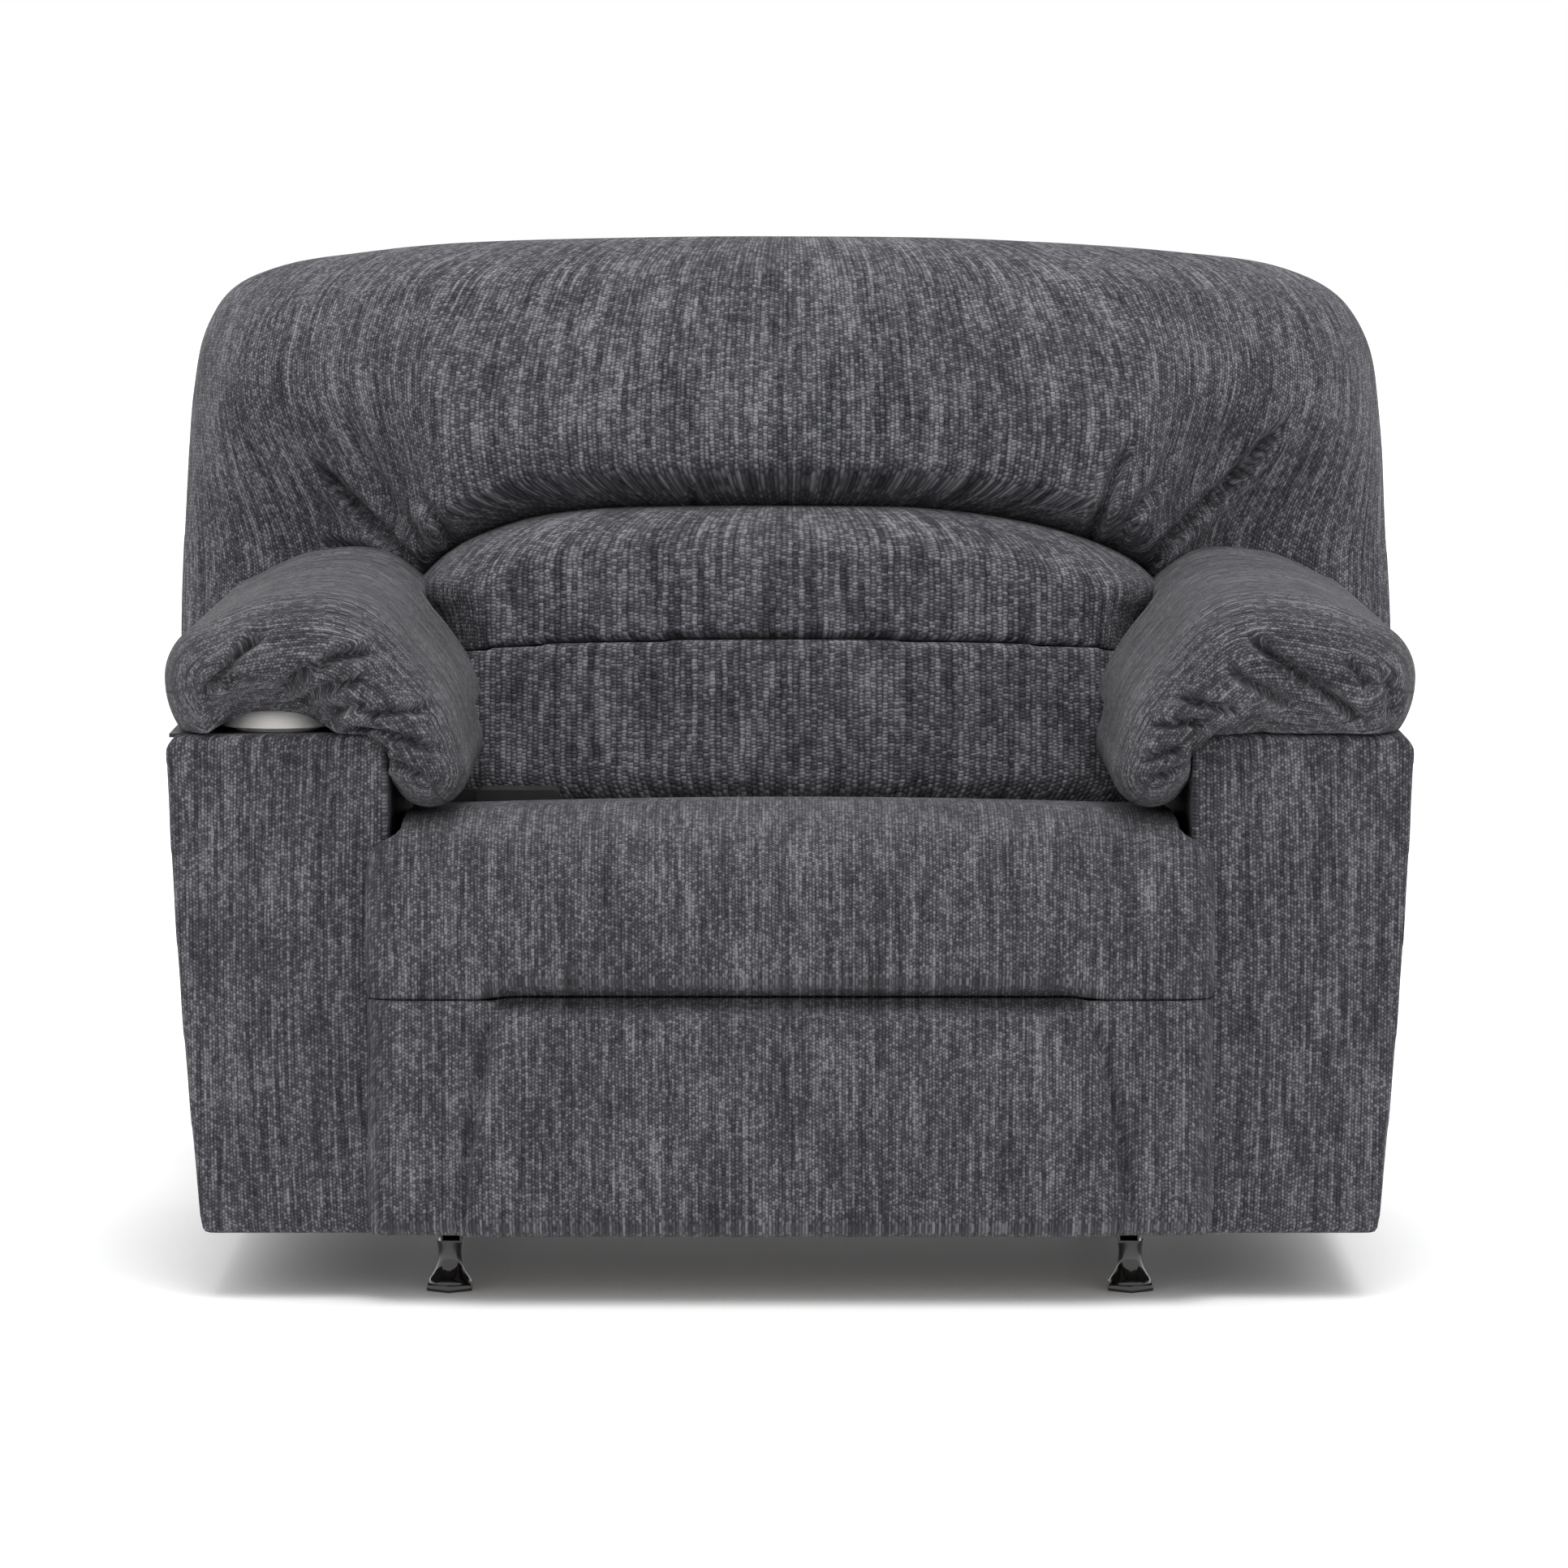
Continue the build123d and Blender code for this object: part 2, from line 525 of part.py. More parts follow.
def inner_link_point(distance, offset):
    """Point along an inner link from its knee, and behind it."""
    return along(along(INNER_KNEE, INNER_REST, distance), INNER_REST - 90, -offset)


def inner_link(side):
    """Front link of one side, with a tab for the middle board."""
    bar = link(INNER_KNEE, FOOTREST_PIVOT, INNER_LINK_X, side)
    low, high = MIDDLE_PAD
    tab = [inner_link_point(low, -4), inner_link_point(high, -4), inner_link_point(high, MIDDLE_OFFSET + 10),
           inner_link_point(low, MIDDLE_OFFSET + 10)]
    return bar + side_plate(tab, INNER_LINK_X, side)


def middle_slab(start, end, near, far, half):
    """Flat slab between the inner links, behind them."""
    outline = [inner_link_point(start, near), inner_link_point(end, near), inner_link_point(end, far),
               inner_link_point(start, far)]
    return Pos(-half, 0, 0) * extrude(Plane.YZ * make_face(Polyline(*outline, close=True)), 2 * half)


def knee_plate(side):
    """Plate that joins the two outer links to the inner link at the knee."""
    outline = [(INNER_KNEE[0] - 13, INNER_KNEE[1] - 6), (INNER_KNEE[0] - 8, KNEE[1] + 12),
               (KNEE[0] + 12, KNEE[1] + 12), (FOLLOWER_KNEE[0] + 14, FOLLOWER_KNEE[1] + 6),
               (FOLLOWER_KNEE[0] + 4, FOLLOWER_KNEE[1] - 13)]
    plate = side_plate(outline, KNEE_PLATE_X, side, corner=5)
    for centre in (KNEE, FOLLOWER_KNEE, INNER_KNEE):
        plate -= side_rod(centre, RIVET_R + GAP, 370, 380, side)
    return plate


def footrest_bracket(side):
    """Plate from the inner link's end to the back of the footrest board."""
    y, z = FOOTREST_PIVOT
    outline = [(y + 13, z + 13), (y + 13, z - 13), (BOARD_BACK, 150), (BOARD_BACK, BOARD_Z[1] - 4)]
    plate = side_plate(outline, KNEE_PLATE_X, side, corner=5)
    return plate - side_rod(FOOTREST_PIVOT, RIVET_R + GAP, 370, 380, side)


def footrest_pad():
    """Padded footrest, wider in front of the arms than between them."""
    low, high = FOOTREST_Z
    side_view = [(FRONT_FACE, low), (FRONT_FACE, high), (PAD_BACK, high - FOOTREST_SLOPE), (PAD_BACK, low)]
    pad = Pos(-430, 0, 0) * extrude(Plane.YZ * make_face(Polyline(*side_view, close=True)), 860)
    for side in MIRROR:
        pad -= block(side * (SEAT_HALF - 8), side * 500, ROLL_BACK, 0, 0, 400)
    return pad


def drive_link(side):
    """Outer link welded round the drive tube."""
    bar = link(DRIVE_PIVOT, KNEE, OUTER_LINK_X, side, holes=(0, RIVET_R + GAP))
    eye = side_rod(DRIVE_PIVOT, DRIVE_TUBE_R + 6, OUTER_LINK_X, OUTER_LINK_X + PLATE, side)
    return bar + eye - side_rod(DRIVE_PIVOT, DRIVE_TUBE_R, 370, 390, side)


def rivet(centre, x0, x1, side):
    """Plain pivot rivet on one side."""
    return side_rod(centre, RIVET_R, x0, x1, side)


def build_footrest():
    write("drive_tube", cross_rod(DRIVE_PIVOT, DRIVE_TUBE_R, -SIDE_PLATE_X - PLATE, SIDE_PLATE_X + PLATE))
    write("drive_links", [drive_link(side) for side in MIRROR])
    write("follower_links", [link(FOLLOWER_PIVOT, FOLLOWER_KNEE, OUTER_LINK_X, side) for side in MIRROR])
    write("knee_plates", [knee_plate(side) for side in MIRROR])
    write("inner_links", [inner_link(side) for side in MIRROR])
    write("footrest_brackets", [footrest_bracket(side) for side in MIRROR])
    write("follower_rivets", [rivet(FOLLOWER_PIVOT, OUTER_LINK_X, SIDE_PLATE_X + PLATE, s) for s in MIRROR])
    knee_group = [rivet(c, KNEE_PLATE_X, OUTER_LINK_X + PLATE, s) for c in (KNEE, FOLLOWER_KNEE) for s in MIRROR]
    knee_group += [rivet(INNER_KNEE, INNER_LINK_X, KNEE_PLATE_X + PLATE, s) for s in MIRROR]
    write("knee_rivets", knee_group)
    write("footrest_rivets", [rivet(FOOTREST_PIVOT, INNER_LINK_X, KNEE_PLATE_X + PLATE, s) for s in MIRROR])
    low, high = MIDDLE_PAD
    write("middle_board", middle_slab(low, high, MIDDLE_OFFSET, MIDDLE_OFFSET + 10, INNER_LINK_X))
    write("middle_pad", middle_slab(low - 45, high, MIDDLE_OFFSET + 10, MIDDLE_OFFSET + 32, 330))
    write("footrest_board", block(-396, 396, PAD_BACK, BOARD_BACK, *BOARD_Z))
    write("footrest_pad", footrest_pad())


os.makedirs("parts", exist_ok=True)
build_base()
build_seat()
build_arms()
build_back()
build_footrest()
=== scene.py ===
"""Extra-wide padded recliner: its upholstery, finishes, studio light and camera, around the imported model."""
import json
import logging
import math
from collections.abc import Callable, Sequence
from dataclasses import dataclass, field
from enum import Enum

import bmesh
import bpy
import numpy as np
from mathutils import Matrix, Vector


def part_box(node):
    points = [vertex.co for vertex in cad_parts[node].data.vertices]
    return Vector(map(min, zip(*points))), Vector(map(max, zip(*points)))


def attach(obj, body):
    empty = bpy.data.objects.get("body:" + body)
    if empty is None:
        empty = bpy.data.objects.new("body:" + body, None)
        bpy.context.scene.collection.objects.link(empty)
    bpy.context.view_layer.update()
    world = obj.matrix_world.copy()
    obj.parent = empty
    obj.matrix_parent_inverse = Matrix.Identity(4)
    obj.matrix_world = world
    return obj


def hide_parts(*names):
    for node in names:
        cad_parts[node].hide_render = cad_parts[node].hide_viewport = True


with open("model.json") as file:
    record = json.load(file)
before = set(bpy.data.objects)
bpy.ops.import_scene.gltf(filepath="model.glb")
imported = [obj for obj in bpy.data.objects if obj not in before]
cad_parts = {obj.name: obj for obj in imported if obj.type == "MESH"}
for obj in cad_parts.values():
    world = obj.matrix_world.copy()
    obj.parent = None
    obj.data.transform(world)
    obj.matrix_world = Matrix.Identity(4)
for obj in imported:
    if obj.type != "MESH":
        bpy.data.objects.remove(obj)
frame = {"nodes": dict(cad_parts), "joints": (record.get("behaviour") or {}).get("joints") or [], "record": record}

LOG = logging.getLogger("recliner")
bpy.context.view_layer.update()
Point2 = tuple[float, float]
HINGES = {joint["name"]: joint for joint in frame["joints"]}


class Side(Enum):
    """The sitter's sides of the chair, as signs of X."""

    RIGHT = -1
    LEFT = 1


# ---------------------------------------------------------------- lines and distances
def smooth_line(points: Sequence[Point2], steps: int = 6) -> np.ndarray:
    """Open curve through points, with knots spaced by their gaps so that it never overshoots.

    Args:
        points: places that the curve passes through.
        steps: divisions between one place and the next.

    Returns:
        The curve's points, one row each.
    """
    given = np.asarray(points, float)
    run = np.vstack([2 * given[0] - given[1], given, 2 * given[-1] - given[-2]])
    out = []
    for before, start, end, after in zip(run, run[1:], run[2:], run[3:]):
        knots = [max(float(np.linalg.norm(b - a)), 1e-9) ** 0.5
                 for a, b in ((before, start), (start, end), (end, after))]
        lead = (start - before) / knots[0] - (end - before) / (knots[0] + knots[1]) + (end - start) / knots[1]
        trail = (end - start) / knots[1] - (after - start) / (knots[1] + knots[2]) + (after - end) / knots[2]
        lead, trail = lead * knots[1], trail * knots[1]
        for t in np.linspace(0, 1, steps, endpoint=False):
            out.append(start + lead * t + (3 * (end - start) - 2 * lead - trail) * t**2
                       + (2 * (start - end) + lead + trail) * t**3)
    return np.vstack([out, given[-1:]])


@dataclass
class Reach:
    """How points lie against a line: the gap to it, its nearest points, and the share of its length there."""

    gap: np.ndarray
    foot: np.ndarray
    share: np.ndarray


def reach(points: np.ndarray, line: np.ndarray) -> Reach:
    """Nearest place on an open line for each point.

    Args:
        points: rows of two coordinates.
        line: rows of the line's points.

    Returns:
        Gap, nearest place and share of the line's length for each point.
    """
    steps = np.linalg.norm(np.diff(line, axis=0), axis=1)
    total, passed = steps.sum(), 0.0
    found = Reach(np.full(len(points), np.inf), np.zeros((len(points), 2)), np.zeros(len(points)))
    for start, end, length in zip(line, line[1:], steps):
        if length > 1e-9:
            way = (end - start) / length
            t = np.clip((points - start) @ way, 0, length)
            foot = start + t[:, None] * way
            gap = np.hypot(*(points - foot).T)
            near = gap < found.gap
            found.gap[near], found.foot[near] = gap[near], foot[near]
            found.share[near] = ((passed + t) / total)[near]
            passed += length
    return found


def ease(value: np.ndarray, low: float, high: float) -> np.ndarray:
    """0 up to low, 1 from high, and a smooth step between them."""
    t = np.clip((value - low) / (high - low), 0, 1)
    return t * t * (3 - 2 * t)


# ---------------------------------------------------------------- meshes
def new_object(name: str, bm: bmesh.types.BMesh) -> bpy.types.Object:
    """Object of a finished bmesh, which is freed."""
    mesh = bpy.data.meshes.new(name)
    bm.to_mesh(mesh)
    bm.free()
    obj = bpy.data.objects.new(name, mesh)
    bpy.context.collection.objects.link(obj)
    return obj


def prism(name: str, outline: Sequence[Point2], near: float, far: float,
          along_x: bool = False) -> bpy.types.Object:
    """Closed prism of an outline.

    Args:
        name: the new object's name.
        outline: corners in X and Z, or in Y and Z when along_x is set.
        near: Y, or X, of one end.
        far: Y, or X, of the other end.
        along_x: whether the prism runs along X in place of Y.

    Returns:
        The new object.
    """
    bm = bmesh.new()
    face = bm.faces.new([bm.verts.new((near, a, b) if along_x else (a, near, b)) for a, b in outline])
    swept = bmesh.ops.extrude_face_region(bm, geom=[face])["geom"]
    way = Vector((far - near, 0, 0)) if along_x else Vector((0, far - near, 0))
    bmesh.ops.translate(bm, vec=way, verts=[v for v in swept if isinstance(v, bmesh.types.BMVert)])
    bmesh.ops.recalc_face_normals(bm, faces=bm.faces)
    return new_object(name, bm)


def brick(name: str, low: Sequence[float], high: Sequence[float], round_to: float = 0.0) -> bpy.types.Object:
    """Box between two corners, with its edges rounded to a radius when one is given."""
    bm = bmesh.new()
    bmesh.ops.create_cube(bm, size=1.0)
    bmesh.ops.scale(bm, vec=Vector(high) - Vector(low), verts=bm.verts)
    bmesh.ops.translate(bm, vec=(Vector(high) + Vector(low)) / 2, verts=bm.verts)
    if round_to:
        bmesh.ops.bevel(bm, geom=bm.edges[:], offset=round_to, segments=4, profile=0.5,
                        affect="EDGES", material=-1)
    return new_object(name, bm)


def bake(obj: bpy.types.Object) -> bpy.types.Object:
    """Applies the object's modifiers to its mesh."""
    graph = bpy.context.evaluated_depsgraph_get()
    graph.update()
    done = bpy.data.meshes.new_from_object(obj.evaluated_get(graph))
    old = obj.data
    obj.modifiers.clear()
    obj.data = done
    bpy.data.meshes.remove(old)
    return obj


def carve(obj: bpy.types.Object, cutter: bpy.types.Object) -> bpy.types.Object:
    """Takes the cutter's space out of the object and drops the cutter."""
    cut = obj.modifiers.new("cut", "BOOLEAN")
    cut.object, cut.solver, cut.operation = cutter, "EXACT", "DIFFERENCE"
    bake(obj)
    bpy.data.objects.remove(cutter)
    return obj


def quilt(obj: bpy.types.Object, grid: float, relax: int = 6) -> bpy.types.Object:
    """Even fine mesh of the same shape, its corners relaxed like filled cloth."""
    voxels = obj.modifiers.new("voxels", "REMESH")
    voxels.mode, voxels.voxel_size = "VOXEL", grid
    if relax:
        soft = obj.modifiers.new("relax", "SMOOTH")
        soft.factor, soft.iterations = 0.5, relax
    return bake(obj)


def places(obj: bpy.types.Object) -> np.ndarray:
    """Vertex places, one row each."""
    out = np.empty(len(obj.data.vertices) * 3, np.float32)
    obj.data.vertices.foreach_get("co", out)
    return out.reshape(-1, 3).astype(float)


def place(obj: bpy.types.Object, points: np.ndarray) -> bpy.types.Object:
    """Moves the vertices to new places."""
    obj.data.vertices.foreach_set("co", points.astype(np.float32).ravel())
    obj.data.update()
    return obj


def facing(obj: bpy.types.Object) -> np.ndarray:
    """Outward direction at each vertex, one row each."""
    out = np.empty(len(obj.data.vertices) * 3, np.float32)
    obj.data.vertex_normals.foreach_get("vector", out)
    return out.reshape(-1, 3).astype(float)


def weave(obj: bpy.types.Object, fast: np.ndarray, slow: np.ndarray) -> None:
    """Stores how the cloth lies: metres across its streaks, and metres along them."""
    rows = np.column_stack([fast, slow, np.zeros(len(fast))]).astype(np.float32)
    obj.data.attributes.new("weave", "FLOAT_VECTOR", "POINT").data.foreach_set("vector", rows.ravel())


def soften(obj: bpy.types.Object) -> None:
    """Smooth shading."""
    obj.data.polygons.foreach_set("use_smooth", [True] * len(obj.data.polygons))
    obj.data.update()


@dataclass(frozen=True)
class Fold:
    """Crease in stuffed cloth, in metres in the pad's own plane."""

    path: tuple[Point2, ...]
    depth: float = 0.006
    width: float = 0.006
    ridge: float = 0.35
    fade: float = 0.2

    def lift(self, flat: np.ndarray) -> np.ndarray:
        """How far the cloth rises or sinks at each point of the plane."""
        near = reach(flat, smooth_line(self.path, 5))
        ends = ease(np.minimum(near.share, 1 - near.share), 0.0, self.fade) * 0.9 + 0.1
        sunk = np.exp(-((near.gap / self.width) ** 2))
        side = np.exp(-(((near.gap - 2.2 * self.width) / (1.2 * self.width)) ** 2))
        return self.depth * ends * (self.ridge * side - sunk)


def press(obj: bpy.types.Object, folds: Sequence[Fold], flat: np.ndarray, mask: np.ndarray) -> None:
    """Presses folds into a pad along its outward direction.

    Args:
        obj: the pad.
        folds: the creases.
        flat: the pad's vertices in the folds' plane.
        mask: 0 to 1 for each vertex, how much it is pressed.
    """
    lift = sum(fold.lift(flat) for fold in folds)
    place(obj, places(obj) + facing(obj) * (lift * mask)[:, None])


@dataclass(frozen=True)
class Crown:
    """Rounded border of a pad: how far in it reaches, and the pad's depth at the very edge."""

    radius: float
    edge: float


def crown(flat: np.ndarray, depth: np.ndarray,
          borders: Sequence[tuple[np.ndarray, Crown]]) -> tuple[np.ndarray, np.ndarray]:
    """Rounds a pad's face down to its borders.

    Args:
        flat: vertices in the pad's plane.
        depth: the full depth of the pad at each vertex.
        borders: lines of the pad's edge, each with its rounding.

    Returns:
        The vertices' new places in the plane, and the depth at each.
    """
    share = np.ones(len(flat))
    floor = np.zeros(len(flat))
    moved = flat.copy()
    for line, rule in borders:
        near = reach(flat, line)
        turn = np.pi / 2 * np.clip(near.gap / rule.radius, 0, 1)
        rise = np.sin(turn)
        level = rule.edge + (depth - rule.edge) * rise
        lower = (level < floor + (depth - floor) * share) | (share == 1)
        pull = np.where(near.gap > 1e-6, rule.radius * (1 - np.cos(turn)) / np.maximum(near.gap, 1e-6), 1.0)
        pull = np.where(near.gap < rule.radius, pull, 1.0)
        moved += (near.foot - flat) * (1 - pull)[:, None] * 0.8
        floor = np.where(lower, rule.edge, floor)
        share = np.where(lower, rise, share)
    return moved, floor + (depth - floor) * share


# ---------------------------------------------------------------- node graphs
class Graph:
    """Short calls that add and join shader nodes in one tree."""

    def __init__(self, tree: bpy.types.NodeTree) -> None:
        """Works on a material's tree or a group's."""
        self.tree = tree

    def put(self, kind: str, **settings: object) -> bpy.types.Node:
        """New node with its settings."""
        node = self.tree.nodes.new(kind)
        for key, value in settings.items():
            setattr(node, key, value)
        return node

    def feed(self, socket: bpy.types.NodeSocket, value: object) -> None:
        """Links a socket to another, or gives it a constant."""
        if isinstance(value, bpy.types.NodeSocket):
            self.tree.links.new(value, socket)
        elif value is not None:
            socket.default_value = value

    def math(self, operation: str, a: object, b: object = None, c: object = None) -> bpy.types.NodeSocket:
        """Result of a Math node."""
        node = self.put("ShaderNodeMath", operation=operation)
        for socket, value in zip(node.inputs, (a, b, c)):
            self.feed(socket, value)
        return node.outputs[0]

    def noise(self, vector: object, scale: float, detail: float = 2.0,
              rough: float = 0.5) -> bpy.types.NodeSocket:
        """Noise from 0 to 1."""
        node = self.put("ShaderNodeTexNoise")
        self.feed(node.inputs["Vector"], vector)
        node.inputs["Scale"].default_value = scale
        node.inputs["Detail"].default_value = detail
        node.inputs["Roughness"].default_value = rough
        return node.outputs["Fac"]

    def spread(self, value: object, low: float, high: float, to_low: float = 0.0,
               to_high: float = 1.0) -> bpy.types.NodeSocket:
        """Value moved from one range to another and held inside it."""
        node = self.put("ShaderNodeMapRange", interpolation_type="SMOOTHSTEP")
        for socket, given in zip(node.inputs, (value, low, high, to_low, to_high)):
            self.feed(socket, given)
        return node.outputs[0]

    def blend(self, share: object, a: object, b: object, mode: str = "MIX") -> bpy.types.NodeSocket:
        """Mix of two colours."""
        node = self.put("ShaderNodeMix", data_type="RGBA", blend_type=mode)
        self.feed(node.inputs[0], share)
        self.feed(node.inputs[6], a)
        self.feed(node.inputs[7], b)
        return node.outputs[2]

    def vector(self, x: object, y: object, z: object = 0.0) -> bpy.types.NodeSocket:
        """Vector of three values."""
        node = self.put("ShaderNodeCombineXYZ")
        for socket, value in zip(node.inputs, (x, y, z)):
            self.feed(socket, value)
        return node.outputs[0]

    def stretch(self, vector: object, by: Sequence[float]) -> bpy.types.NodeSocket:
        """Vector scaled by an amount on each axis."""
        node = self.put("ShaderNodeMapping")
        self.feed(node.inputs["Vector"], vector)
        node.inputs["Scale"].default_value = by
        return node.outputs[0]

    def bump(self, height: object, distance: float, strength: float = 1.0) -> bpy.types.NodeSocket:
        """Normal from a height."""
        node = self.put("ShaderNodeBump")
        node.inputs["Distance"].default_value = distance
        node.inputs["Strength"].default_value = strength
        self.feed(node.inputs["Height"], height)
        return node.outputs[0]


def grey(value: float, blue: float = 0.0) -> tuple[float, float, float, float]:
    """Opaque grey, a little bluer by a share."""
    return (value, value, value * (1 + blue), 1.0)


def group(name: str, inputs: dict[str, str],
          outputs: dict[str, str]) -> tuple[Graph, bpy.types.Node, bpy.types.Node]:
    """Empty node group.

    Args:
        name: the group's name.
        inputs: socket names and their kinds, Float, Vector or Color.
        outputs: the same for what it puts out.

    Returns:
        Its graph, its input node and its output node.
    """
    tree = bpy.data.node_groups.new(name, "ShaderNodeTree")
    for way, sockets in (("INPUT", inputs), ("OUTPUT", outputs)):
        for label, kind in sockets.items():
            tree.interface.new_socket(label, in_out=way, socket_type=f"NodeSocket{kind}")
    graph = Graph(tree)
    return graph, graph.put("NodeGroupInput"), graph.put("NodeGroupOutput")


def cloth_group() -> bpy.types.NodeTree:
    """Heathered chenille: tufts in a broken twill with painted shade between the tufts, thin slubs and broad
    streaks along the warp.
    """
    graph, given, out = group("chenille_cloth", {"Weave": "Vector", "Place": "Vector", "Pitch": "Float"},
                              {"Tone": "Float", "Height": "Float"})
    weave_in, pitch = given.outputs["Weave"], given.outputs["Pitch"]
    wobble = graph.put("ShaderNodeTexNoise")
    graph.feed(wobble.inputs["Vector"], weave_in)
    wobble.inputs["Scale"].default_value = 90.0
    shift = graph.put("ShaderNodeVectorMath", operation="MULTIPLY_ADD")
    graph.feed(shift.inputs[0], wobble.outputs["Color"])
    shift.inputs[1].default_value = (0.0030, 0.0030, 0.0)
    graph.feed(shift.inputs[2], weave_in)
    parts = graph.put("ShaderNodeSeparateXYZ")
    graph.feed(parts.inputs[0], shift.outputs[0])
    across = graph.math("DIVIDE", parts.outputs[0], pitch)
    column = graph.math("FLOOR", across)
    thread = graph.put("ShaderNodeTexWhiteNoise", noise_dimensions="1D")
    graph.feed(thread.inputs["W"], column)
    offset = graph.math("MULTIPLY_ADD", thread.outputs[0], 0.35, graph.math("MULTIPLY", column, 0.45))
    along = graph.math("ADD", graph.math("DIVIDE", parts.outputs[1], graph.math("MULTIPLY", pitch, 1.15)),
                       offset)
    row = graph.math("FLOOR", along)
    pick = graph.put("ShaderNodeTexWhiteNoise", noise_dimensions="2D")
    graph.feed(pick.inputs["Vector"], graph.vector(column, row))
    u = graph.math("SUBTRACT", graph.math("FRACT", across), 0.5)
    v = graph.math("SUBTRACT", graph.math("FRACT", along), 0.5)
    tuft = graph.math("MULTIPLY",
                      graph.math("SUBTRACT", 1.0, graph.math("MULTIPLY", 3.4, graph.math("MULTIPLY", u, u))),
                      graph.math("SUBTRACT", 1.0, graph.math("MULTIPLY", 3.0, graph.math("MULTIPLY", v, v))))
    slub = graph.noise(graph.stretch(weave_in, (230.0, 15.0, 1.0)), 1.0, 3.0, 0.6)
    streak = graph.noise(graph.stretch(weave_in, (85.0, 7.5, 1.0)), 1.0, 3.0, 0.55)
    mottle = graph.noise(given.outputs["Place"], 13.0, 2.0)
    hair = graph.noise(graph.stretch(weave_in, (700.0, 450.0, 1.0)), 1.0, 2.0, 0.6)
    tone = graph.math("MULTIPLY", graph.math("SUBTRACT", pick.outputs[0], 0.5), 0.40)
    for value, amount in ((slub, 1.05), (streak, 0.65), (mottle, 0.3), (hair, 0.8),
                          (thread.outputs[0], 0.14)):
        tone = graph.math("MULTIPLY_ADD", graph.math("SUBTRACT", value, 0.5), amount, tone)
    # Tufts painted lighter in their middles and darker at their edges, following their height: painted shade
    # between the raised tufts.
    tone = graph.math("MULTIPLY_ADD", graph.math("SUBTRACT", tuft, 0.55), 0.4, tone)
    graph.feed(out.inputs["Tone"], graph.math("ADD", tone, 0.5))
    height = graph.math("MULTIPLY_ADD", tuft, 0.7, graph.math("MULTIPLY", slub, 0.35))
    graph.feed(out.inputs["Height"], graph.math("MULTIPLY_ADD", hair, 0.25, height))
    return graph.tree


def wear_group() -> bpy.types.NodeTree:
    """Soft scuffs and finger marks for hard pieces."""
    graph, given, out = group("handling_marks", {"Place": "Vector", "Scale": "Float"},
                              {"Marks": "Float", "Grain": "Float"})
    vector = graph.put("ShaderNodeVectorMath", operation="SCALE")
    graph.feed(vector.inputs[0], given.outputs["Place"])
    graph.feed(vector.inputs["Scale"], given.outputs["Scale"])
    graph.feed(out.inputs["Marks"], graph.noise(vector.outputs[0], 9.0, 4.0, 0.6))
    graph.feed(out.inputs["Grain"], graph.noise(vector.outputs[0], 1400.0, 2.0, 0.6))
    return graph.tree


@dataclass(frozen=True)
class Chenille:
    """Heathered chenille cloth."""

    name: str
    dark: float = 0.009
    middle: float = 0.044
    light: float = 0.18
    pitch: float = 0.0034
    relief: float = 0.0013

    def make(self, cloth: bpy.types.NodeTree) -> bpy.types.Material:
        """Material whose pattern follows the piece's weave attribute."""
        material, graph, shader = blank(self.name)
        node = graph.put("ShaderNodeGroup", node_tree=cloth)
        lay = graph.put("ShaderNodeAttribute", attribute_name="weave")
        spot = graph.put("ShaderNodeTexCoord")
        graph.feed(node.inputs["Weave"], lay.outputs["Vector"])
        graph.feed(node.inputs["Place"], spot.outputs["Object"])
        node.inputs["Pitch"].default_value = self.pitch
        ramp = graph.put("ShaderNodeValToRGB")
        ramp.color_ramp.elements[0].position, ramp.color_ramp.elements[0].color = 0.05, grey(self.dark, 0.3)
        ramp.color_ramp.elements[1].position, ramp.color_ramp.elements[1].color = 0.98, grey(self.light, 0.06)
        ramp.color_ramp.elements.new(0.5).color = grey(self.middle, 0.17)
        graph.feed(ramp.inputs[0], node.outputs["Tone"])
        graph.feed(shader.inputs["Base Color"], ramp.outputs["Color"])
        graph.feed(shader.inputs["Roughness"], graph.spread(node.outputs["Tone"], 0.0, 1.0, 0.95, 0.82))
        shader.inputs["Specular IOR Level"].default_value = 0.25
        shader.inputs["Sheen Weight"].default_value = 0.05
        shader.inputs["Sheen Roughness"].default_value = 0.6
        graph.feed(shader.inputs["Normal"], graph.bump(node.outputs["Height"], self.relief, 0.9))
        return material


def blank(name: str) -> tuple[bpy.types.Material, Graph, bpy.types.Node]:
    """New node material, with its graph and its shader."""
    material = bpy.data.materials.new(name)
    material.use_nodes = True
    return material, Graph(material.node_tree), material.node_tree.nodes["Principled BSDF"]


@dataclass(frozen=True)
class HardFinish:
    """Enamel, plate or plastic with faint marks of handling."""

    name: str
    colour: tuple[float, float, float, float]
    roughness: Point2
    metallic: float = 0.0
    coat: float = 0.0
    grain: float = 0.00004
    stretch: tuple[float, float, float] = (1.0, 1.0, 1.0)

    def make(self, wear: bpy.types.NodeTree) -> bpy.types.Material:
        """Material of the finish."""
        material, graph, shader = blank(self.name)
        spot = graph.put("ShaderNodeTexCoord")
        node = graph.put("ShaderNodeGroup", node_tree=wear)
        graph.feed(node.inputs["Place"], graph.stretch(spot.outputs["Object"], self.stretch))
        node.inputs["Scale"].default_value = 1.0
        worn = tuple(min(1.0, c * 1.5 + 0.004) for c in self.colour[:3]) + (1.0,)
        graph.feed(shader.inputs["Base Color"],
                   graph.blend(graph.spread(node.outputs["Marks"], 0.5, 0.8), self.colour, worn))
        graph.feed(shader.inputs["Roughness"], graph.spread(node.outputs["Marks"], 0.3, 0.7, *self.roughness))
        shader.inputs["Metallic"].default_value = self.metallic
        shader.inputs["Coat Weight"].default_value = self.coat
        shader.inputs["Coat Roughness"].default_value = 0.06
        graph.feed(shader.inputs["Normal"], graph.bump(node.outputs["Grain"], self.grain, 0.7))
        return material


